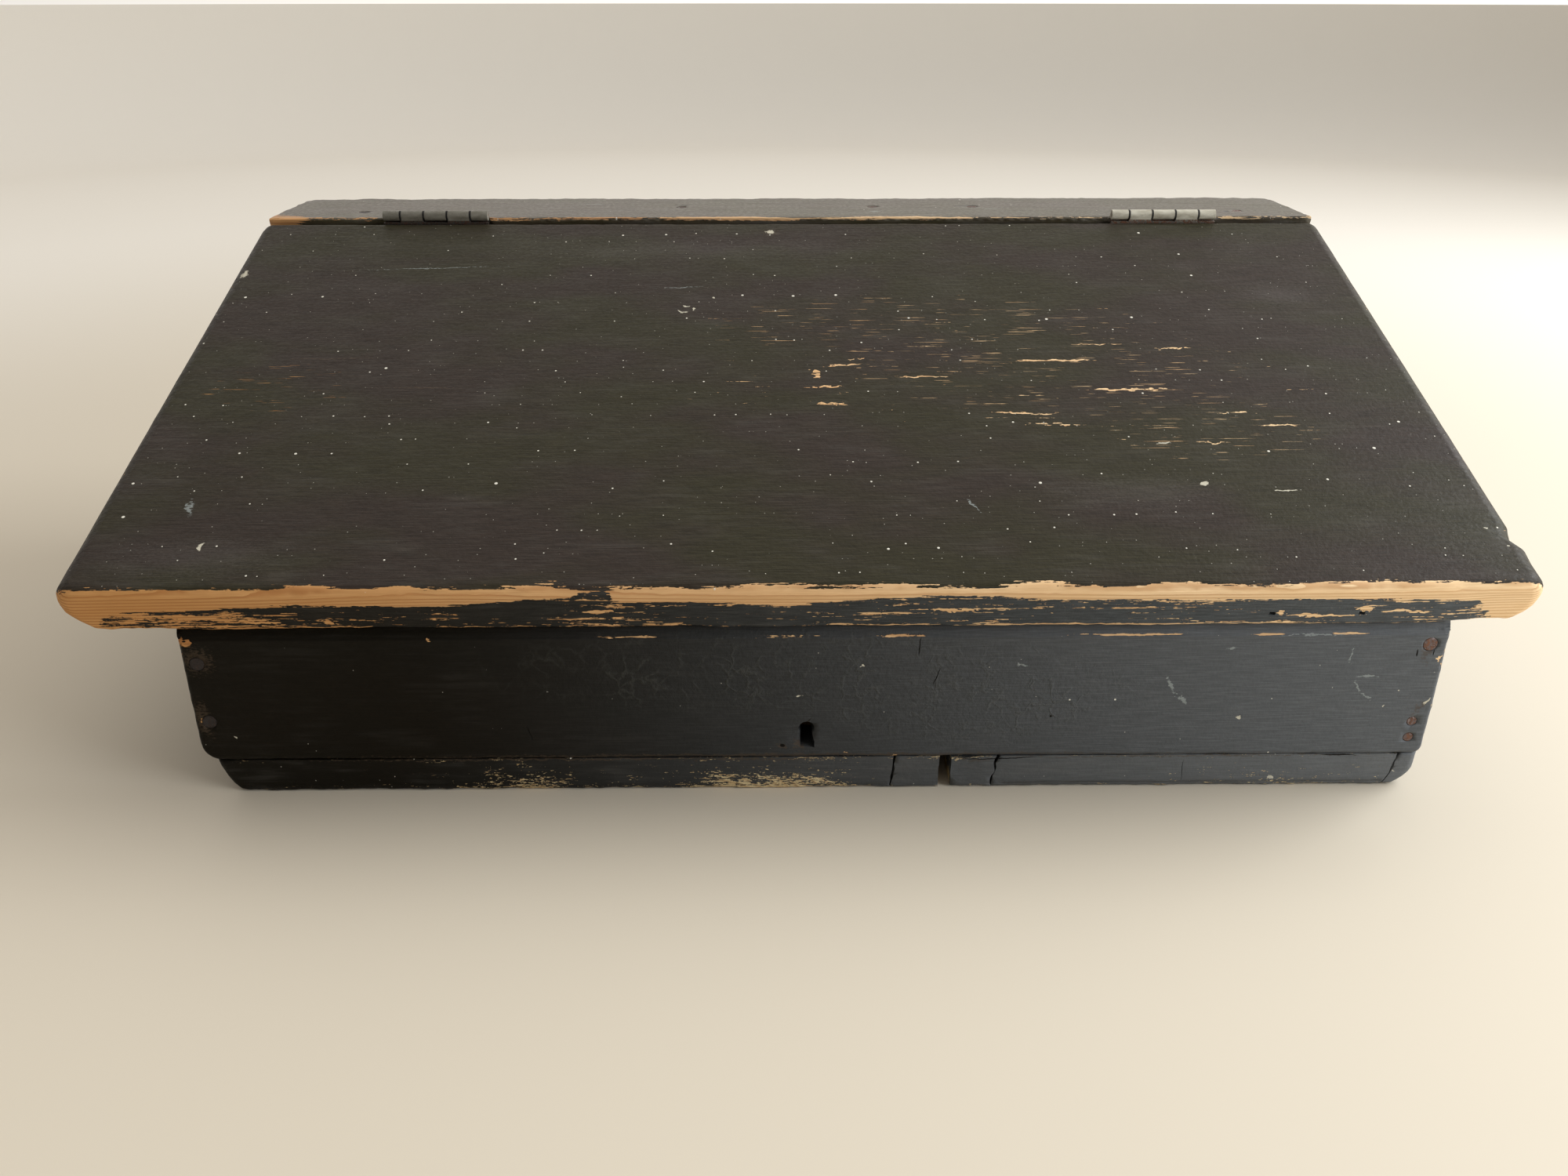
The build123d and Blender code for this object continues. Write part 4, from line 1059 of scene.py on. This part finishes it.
LID_EDGE_WORN = (
    (196.5, -14.2, 3.4, 1.2, 0), (231, -12.8, 3.6, 1.2, 0), (-194.8, -17.8, 2.2, 1.3, 0),
    (212, -16, 18, 0.9, 0), (248, -14, 14, 0.9, 0), (-250, -14, 16, 0.9, 0), (-226, -17, 14, 0.8, 0),
    (62, -12, 12, 0.9, 0), (-84, -12, 9, 1.0, 0),
)

# %% Marks on the ledge, the front and the base
LEDGE_MARKED = {
    "brown": ((0, 40, 300, 3, 0), (-252, 21, 7, 5, 0)),
    "smeared": ((48.7, 20.8, 5, 1.6, 10), (120, 30, 10, 0.8, 4), (-120, 50, 12, 0.8, -3)),
    "recess_shade": (
        (-66, 46.5, 6, 1.1, 0), (105, 41.5, 8, 1.1, 0), (-252, 21.5, 2, 2, 0), (256, 18, 2.4, 2, 0),
        (-66, 39, 2, 2, 0), (49, 39, 2, 2, 0), (109, 39, 2.4, 2, 0),
    ),
}
FRONT_WORN = (
    (-156, 75.3, 3.2, 1.5, 0), (-257, 75, 4, 4, 0), (18.5, 18.4, 3.0, 1.3, -10), (40, 17.2, 4, 0.8, 0),
    (270.5, 64.2, 1.4, 4.5, 0), (-255, 37, 2.6, 2.0, -30),
)
FRONT_MARKED = {
    "brown": (
        (-1.8, 23.5, 3.4, 4.5, 20), (-8.5, 22.4, 3.0, 2.0, 0), (-253, 66, 9, 9, 0), (-256, 38, 5, 12, 10),
        (263, 67, 3, 7, 0), (266, 41, 1.6, 8, -35), (0, 18, 250, 1.4, 0),
    ),
    "smeared": (
        (157, 52, 1.2, 7, 28), (163, 45, 1.0, 4, 40), (237, 51, 0.8, 4, 20), (242, 46, 0.8, 4, 45),
        (92, 62, 3, 0.7, -5), (232, 66, 0.7, 5, 4), (215, 75.6, 16, 0.4, 0), (240, 56, 6, 0.5, 0),
        (180, 70, 3, 0.7, 0),
    ),
    "pale": (
        (-1.1, 47.7, 2.0, 0.5, 0), (189, 36, 1.1, 1.2, 0), (-244.1, 28.7, 0.7, 0.7, 0),
        (25, 62, 0.8, 0.7, 0), (250, 41.5, 0.7, 0.7, 0), (256, 49, 0.6, 0.4, 0),
        (268, 44, 0.8, 2.6, -35),
    ),
    # painted shade in cracks and small holes on the front
    "recess_shade": (
        (49, 71, 0.3, 5.0, -6), (-117.3, 30.1, 0.3, 4.5, 14), (-8.5, 23.0, 1.2, 1.0, 0),
        (57, 57, 0.25, 5.0, -20), (107, 37, 0.6, 0.6, 0), (259, 67, 0.4, 2, 0), (266, 67, 0.3, 1.6, 0),
    ),
}
LEFT_BASE_MARKED = {"brown": ((-100, -0.6, 160, 0.7, 0), (-20, -1, 60, 0.8, 0))}
RIGHT_BASE_MARKED = {
    "brown": ((170, -0.6, 110, 0.7, 0), (76, -2.6, 12, 0.9, 2)),
    "pale": ((207.5, -11.9, 1.9, 1.5, 0), (262, -9, 0.5, 0.5, 0)),
    "recess_shade": ((86, -1.6, 20, 0.28, 2), (167.9, -8, 0.15, 6, 0), (236, -0.6, 9, 0.3, 0)),
}

# %% Finish the boards
LID_MAIN, LID_SECOND = (0.0255, 0.0222, 0.0112), (0.0275, 0.0195, 0.0152)
# the ledge wears the lid's paint, made paler here as painted sheen for the grazing light on its flat top
LEDGE_SHEEN_MAIN, LEDGE_SHEEN_SECOND = (0.046, 0.036, 0.014), (0.048, 0.034, 0.018)
# the case paint is near black, darker than the lid's: partly its own blacker paint, partly painted shade; its
# paler, cooler lit end on the front, the right side and the bottom boards is painted window light
CASE_MAIN, CASE_SECOND = (0.0066, 0.0052, 0.0026), (0.0072, 0.0052, 0.0024)
CASE_LIT_END, BASE_LIT_END = (0.118, 0.126, 0.134), (0.148, 0.156, 0.162)
# paint of the lid's front edge at the left and the right end: painted shade at the left, painted bluish window
# light at the right
EDGE_PAINT_LIGHT = ((0.012, 0.0105, 0.008), (0.066, 0.074, 0.080))
# multipliers for the bare wood at the left and at the right end: painted window light, not a change in the wood
FRONT_WOOD_LIGHT = ((0.84, 0.68, 0.53), (1.35, 1.52, 1.90))
BASE_WOOD_LIGHT = ((0.80, 0.95, 1.10), (1.10, 1.45, 1.95))
FINISHES = {
    "lid_board": painted_board(
        "lid_board", LID_MAIN, LID_SECOND, (0, 60, -110), ring=1.3, wood_light=FRONT_WOOD_LIGHT,
        worn=LID_WORN, dashes=LID_DASHES, marked=LID_MARKED, edge_worn=LID_EDGE_WORN,
        edge_paint_light=EDGE_PAINT_LIGHT, haze=0.08, splash_share=1.0, specular=0.12,
    ),
    "ledge_board": painted_board(
        "ledge_board", LEDGE_SHEEN_MAIN, LEDGE_SHEEN_SECOND, (0, 40, -60), wood_light=FRONT_WOOD_LIGHT, haze=0.2,
        specular=0.75, marked=LEDGE_MARKED,
    ),
    "front_board": painted_board(
        "front_board", CASE_MAIN, CASE_SECOND, (0, 30, -80), wood_light=FRONT_WOOD_LIGHT, ripple=0.5,
        haze=0.03, crackle=((-20, 60, 140, 26, 0), (70, 48, 90, 32, 0)), worn=FRONT_WORN,
        marked=FRONT_MARKED, light_fade=(-180, 280, CASE_LIT_END), splash_share=0.15, specular=0.1,
    ),
    "back_board": painted_board("back_board", CASE_MAIN, CASE_SECOND, (0, 90, -70), specular=0.3),
    "left_side_board": painted_board("left_side_board", CASE_MAIN, CASE_SECOND, (0, 60, -90), specular=0.3),
    "right_side_board": painted_board(
        "right_side_board", CASE_MAIN, CASE_SECOND, (0, 50, -70), light_fade=(300, -100, CASE_LIT_END),
        specular=0.3,
    ),
    "left_base_board": painted_board(
        "left_base_board", CASE_MAIN, CASE_SECOND, (0, 60, -90), grain=END_GRAIN, end_grain=True,
        wood_light=BASE_WOOD_LIGHT, ripple=0.4, light_fade=(-200, 280, BASE_LIT_END), splash_share=0.3,
        edge_marked=LEFT_BASE_MARKED, specular=0.12,
    ),
    "right_base_board": painted_board(
        "right_base_board", CASE_MAIN, CASE_SECOND, (0, -160, -70), grain=END_GRAIN, end_grain=True,
        wood_light=BASE_WOOD_LIGHT, ripple=0.4, light_fade=(-200, 280, BASE_LIT_END), splash_share=0.3,
        edge_marked=RIGHT_BASE_MARKED, specular=0.12,
    ),
}
for node, finish in FINISHES.items():
    boards[node].data.materials.append(finish)
    print(finish.name, "has", len(finish.node_tree.nodes), "nodes")

# %% [markdown]
# ## Iron
#
# The hinges are painted over. Their knuckles wear a paler, rubbed paint, which is made paler still
# as painted sheen, and dirt and painted shade darken the gaps between them. Nails and screws have
# rusted under the paint. The lock is sheet iron with a bloom of rust. All of these are one group with
# different amounts: dark paint or scale, bare iron where it is rubbed, and rust in patches. The
# hinges and nails are also painted darker towards the left end of the desk, as painted shade.

# %% Iron, scale and rust
iron, start, end = new_group(
    "Old iron",
    {"Vector": (0, 0, 0), "Scale Color": (0.03, 0.027, 0.024, 1), "Iron": (0.3, 0.28, 0.25, 1),
     "Rubbed": 0.5, "Rust": 0.3},
    {"Color": "Color", "Roughness": "Float", "Metallic": "Float", "Height": "Float"},
)
RUST_PALE, RUST_DARK = (0.16, 0.062, 0.028, 1), (0.065, 0.03, 0.018, 1)
blotches = from_to(iron, noise(iron, start["Vector"], 260, 5, 0.65)["Fac"], 0.3, 0.7)
grains = noise(iron, start["Vector"], 900, 3, 0.6)["Fac"]
shown = from_to(iron, less(iron, blotches, less(iron, 1.0, start["Rubbed"])), -0.06, 0.06)
rusty = plus(iron, from_to(iron, grains, 0.25, 0.75), less(iron, start["Rust"], 0.75))
rusty = from_to(iron, rusty, -0.1, 0.2)
clean = times(iron, shown, less(iron, 1.0, rusty))
tone = mixed(iron, shown, start["Scale Color"], start["Iron"])
lead(iron, end, {
    "Color": mixed(iron, rusty, tone, mixed(iron, blotches, RUST_PALE, RUST_DARK)),
    "Metallic": times(iron, clean, 0.7),
    "Roughness": from_to(iron, clean, 0, 1, 0.72, 0.42),
    "Height": plus(iron, grains, times(iron, rusty, 0.6)),
})

# %% The kinds of iron
# the knuckles' rubbed paint; its pale end is also painted sheen, for the grazing light on the round knuckles
KNUCKLE_DARK, KNUCKLE_PALE_SHEEN = (0.33, 0.30, 0.23, 1), (0.54, 0.51, 0.42, 1)
KNUCKLE_REACH = 3.0 * MM
KNUCKLE_RIM = 0.4 * MM
# the dark of the gaps between the knuckles: dirt and painted shade
KNUCKLE_GAP_DIRT_AND_SHADE = (0.02, 0.017, 0.014, 1)
# the stretch along the desk over which the iron is painted from shade at the left to full light at the right
IRON_SHADED_END, IRON_LIT_END = -260 * MM, 270 * MM
HINGE_STARTS = (-233.2, 183.3)
KNUCKLE_ENDS = (9.85, 23.08, 36.32, 49.55)
GAP_DARK_REACH = 0.8
# the gaps between the knuckles, as marks: place along the hinge, half width of the dark band, which is dirt and
# painted shade
KNUCKLE_GAPS = [
    (start + gap, 0, GAP_DARK_REACH, GAP_DARK_REACH, 0) for start in HINGE_STARTS for gap in KNUCKLE_ENDS
]


def old_iron(name, scale_colour, bright, rubbed, rust, shaded_left=1.0, bump=0.12, knuckles=False):
    """Iron that is painted darker at the left end of the desk by a given share, as painted shade there."""
    made, tree, shader = new_material(name)
    here = put(tree, "TexCoord").outputs["Object"]
    metal = put(
        tree, "Group",
        {"Vector": here, "Scale Color": (*scale_colour, 1), "Iron": (*bright, 1), "Rubbed": rubbed,
         "Rust": rust},
        node_tree=iron,
    ).outputs
    relief = put(tree, "Bump", {"Height": metal["Height"], "Distance": bump * MM}).outputs[0]
    colour, shine = metal["Color"], metal["Metallic"]
    if knuckles:
        # the knuckles are the part within a few millimetres of the pin
        round_pin = moved(tree, "MULTIPLY", moved(tree, "SUBTRACT", here, PIN), ACROSS_GRAIN)
        gap = moved(tree, "LENGTH", round_pin)
        on_leaf = from_to(tree, gap, KNUCKLE_REACH, KNUCKLE_REACH + KNUCKLE_RIM)
        # rubbed paint on the knuckles in pale streaks: wear, together with painted sheen
        worn_paint_and_sheen = mixed(tree, streak(tree, here, 8, 2.5), KNUCKLE_DARK, KNUCKLE_PALE_SHEEN)
        along = moved(tree, "MULTIPLY", here, (1, 0, 0))
        # dark bands at the gaps between the knuckles: dirt and painted shade
        dirt = from_to(tree, marks(tree, along, KNUCKLE_GAPS), 0.0, 0.5)
        worn_paint_and_sheen = mixed(tree, dirt, worn_paint_and_sheen, KNUCKLE_GAP_DIRT_AND_SHADE)
        colour = mixed(tree, on_leaf, worn_paint_and_sheen, colour)
        shine = times(tree, shine, on_leaf)
    # painted shade: the iron is darker towards the left end of the desk
    rightward = put(tree, "SeparateXYZ", {0: here}).outputs["X"]
    level = from_to(tree, rightward, IRON_SHADED_END, IRON_LIT_END, shaded_left, 1.0)
    colour = mixed(tree, 1.0, colour, grey(tree, level), how="MULTIPLY")
    lead(tree, shader, {
        "Base Color": colour, "Roughness": metal["Roughness"], "Metallic": shine, "Normal": relief,
    })
    return made


# the hinges and nails get a last share: how dark painted shade makes them at the left end
IRONS = {
    "hinge_iron": old_iron(
        "rubbed hinge iron", (0.085, 0.076, 0.064), (0.26, 0.24, 0.20), 0.5, 0.3, 0.3, bump=0.05,
        knuckles=True,
    ),
    "pin_steel": old_iron("hinge pin steel", (0.08, 0.075, 0.07), (0.36, 0.34, 0.31), 0.75, 0.2),
    "screw_iron": old_iron("screw iron", (0.045, 0.04, 0.036), (0.24, 0.22, 0.19), 0.45, 0.4),
    "nail_iron": old_iron("rusty nail iron", (0.11, 0.078, 0.072), (0.20, 0.155, 0.15), 0.4, 0.3, 0.12),
    "lock_iron": old_iron("lock sheet iron", (0.06, 0.052, 0.045), (0.21, 0.19, 0.165), 0.5, 0.42),
    "bolt_iron": old_iron("bolt iron", (0.08, 0.072, 0.064), (0.38, 0.36, 0.33), 0.7, 0.25),
    "spring_steel": old_iron("blued spring steel", (0.04, 0.045, 0.065), (0.17, 0.19, 0.24), 0.7, 0.18),
}
slot_of = {row["node"]: row["material_slot"] for row in frame["record"]["subparts"]}
for node, obj in frame["nodes"].items():
    if slot_of[node] in IRONS:
        for material_slot in obj.material_slots:
            material_slot.material = IRONS[slot_of[node]]

# %% [markdown]
# ## Camera
#
# The viewpoint was worked out from the edges of the boards in the photograph: the camera looks
# straight at the desk, a little from above, from about 64 cm in front of its middle.

# %% The camera
PHOTO_WIDTH = 2000
FOCAL_PIXELS = 1611.5
CAMERA_PLACE = Vector((-12.9, -641.2, 318.0)) * MM
CAMERA_PITCH = radians(25.14)
CAMERA_YAW = radians(0.63)

bpy.ops.object.camera_add(
    location=CAMERA_PLACE, rotation=(pi / 2 - CAMERA_PITCH, 0, -CAMERA_YAW)
)
camera = bpy.context.object
camera.data.sensor_width = 36
camera.data.lens = camera.data.sensor_width * FOCAL_PIXELS / PHOTO_WIDTH
camera.data.clip_start = 0.01
bpy.context.scene.camera = camera
print("lens", round(camera.data.lens, 2), "mm")

# %% [markdown]
# ## Floor and light
#
# The desk stands on a pale floor that turns up into a soft rim far away, like a photographer's
# sweep, so that it looks the same from every side. It is a disc whose rim is extruded outwards and
# upwards in steps. A window at the right gives most of the light, and the sky dome is a little
# stronger on that side.

# %% The sweep
SWEEP_RADIUS = 2.4
SWEEP_BEND = 0.3
BEND_STEPS = 10
bpy.ops.object.select_all(action="DESELECT")
bpy.ops.mesh.primitive_circle_add(vertices=96, radius=SWEEP_RADIUS, fill_type="NGON")
sweep = bpy.context.object
sweep.name = "pale_sweep"
bpy.ops.object.mode_set(mode="EDIT")
bpy.ops.mesh.select_mode(type="EDGE")
bpy.ops.mesh.select_all(action="SELECT")
radius, lift = SWEEP_RADIUS, 0.0
for k in range(1, BEND_STEPS + 1):
    angle = pi / 2 * k / BEND_STEPS
    next_radius = SWEEP_RADIUS + SWEEP_BEND * sin(angle)
    next_lift = SWEEP_BEND * (1 - cos(angle))
    bpy.ops.mesh.extrude_edges_move(TRANSFORM_OT_translate={"value": (0, 0, next_lift - lift)})
    grow = next_radius / radius
    bpy.ops.transform.resize(value=(grow, grow, 1), center_override=(0, 0, 0))
    radius, lift = next_radius, next_lift
bpy.ops.object.mode_set(mode="OBJECT")
bpy.ops.object.shade_smooth()

SWEEP_NEAR, SWEEP_FAR = (0.64, 0.575, 0.47, 1), (0.86, 0.82, 0.75, 1)
sweep_paint, tree, shader = new_material("pale sweep")
away = moved(tree, "LENGTH", put(tree, "TexCoord").outputs["Object"])
lead(tree, shader, {"Base Color": mixed(tree, from_to(tree, away, 0.5, 1.6), SWEEP_NEAR, SWEEP_FAR)})
shader["Roughness"].default_value = 0.6
shader["Specular IOR Level"].default_value = 0.2
sweep.data.materials.append(sweep_paint)
print("sweep faces", len(sweep.data.polygons))

# %% Lights and world
DESK_MIDDLE = Vector((0, 0, 0.08))


def soft_window(name, place, wide, high, energy, colour):
    bpy.ops.object.light_add(type="AREA", location=place)
    lamp = bpy.context.object
    lamp.name = name
    lamp.data.shape = "RECTANGLE"
    lamp.data.size = wide
    lamp.data.size_y = high
    lamp.data.energy = energy
    lamp.data.color = colour
    lamp.rotation_euler = (DESK_MIDDLE - Vector(place)).to_track_quat("-Z", "Y").to_euler()


soft_window("window", (1.5, 0.25, 1.05), 1.0, 1.0, 26, (0.93, 0.97, 1.0))
soft_window("window foot", (1.15, -0.75, 0.5), 0.6, 0.6, 10, (0.88, 0.94, 1.0))

BRIGHT_SIDE = (0.45, 0.75, 0.48)
SKY_COLOUR = (1, 0.95, 0.88, 1)
world = bpy.data.worlds.new("room")
bpy.context.scene.world = world
world.use_nodes = True
tree, sky = world.node_tree, world.node_tree.nodes["Background"].inputs
towards = moved(tree, "DOT_PRODUCT", put(tree, "TexCoord").outputs["Generated"], BRIGHT_SIDE)
lead(tree, sky, {"Strength": from_to(tree, towards, -0.3, 0.9, 0.25, 1.2)})
sky["Color"].default_value = SKY_COLOUR

bpy.context.scene.view_settings.view_transform = "Standard"
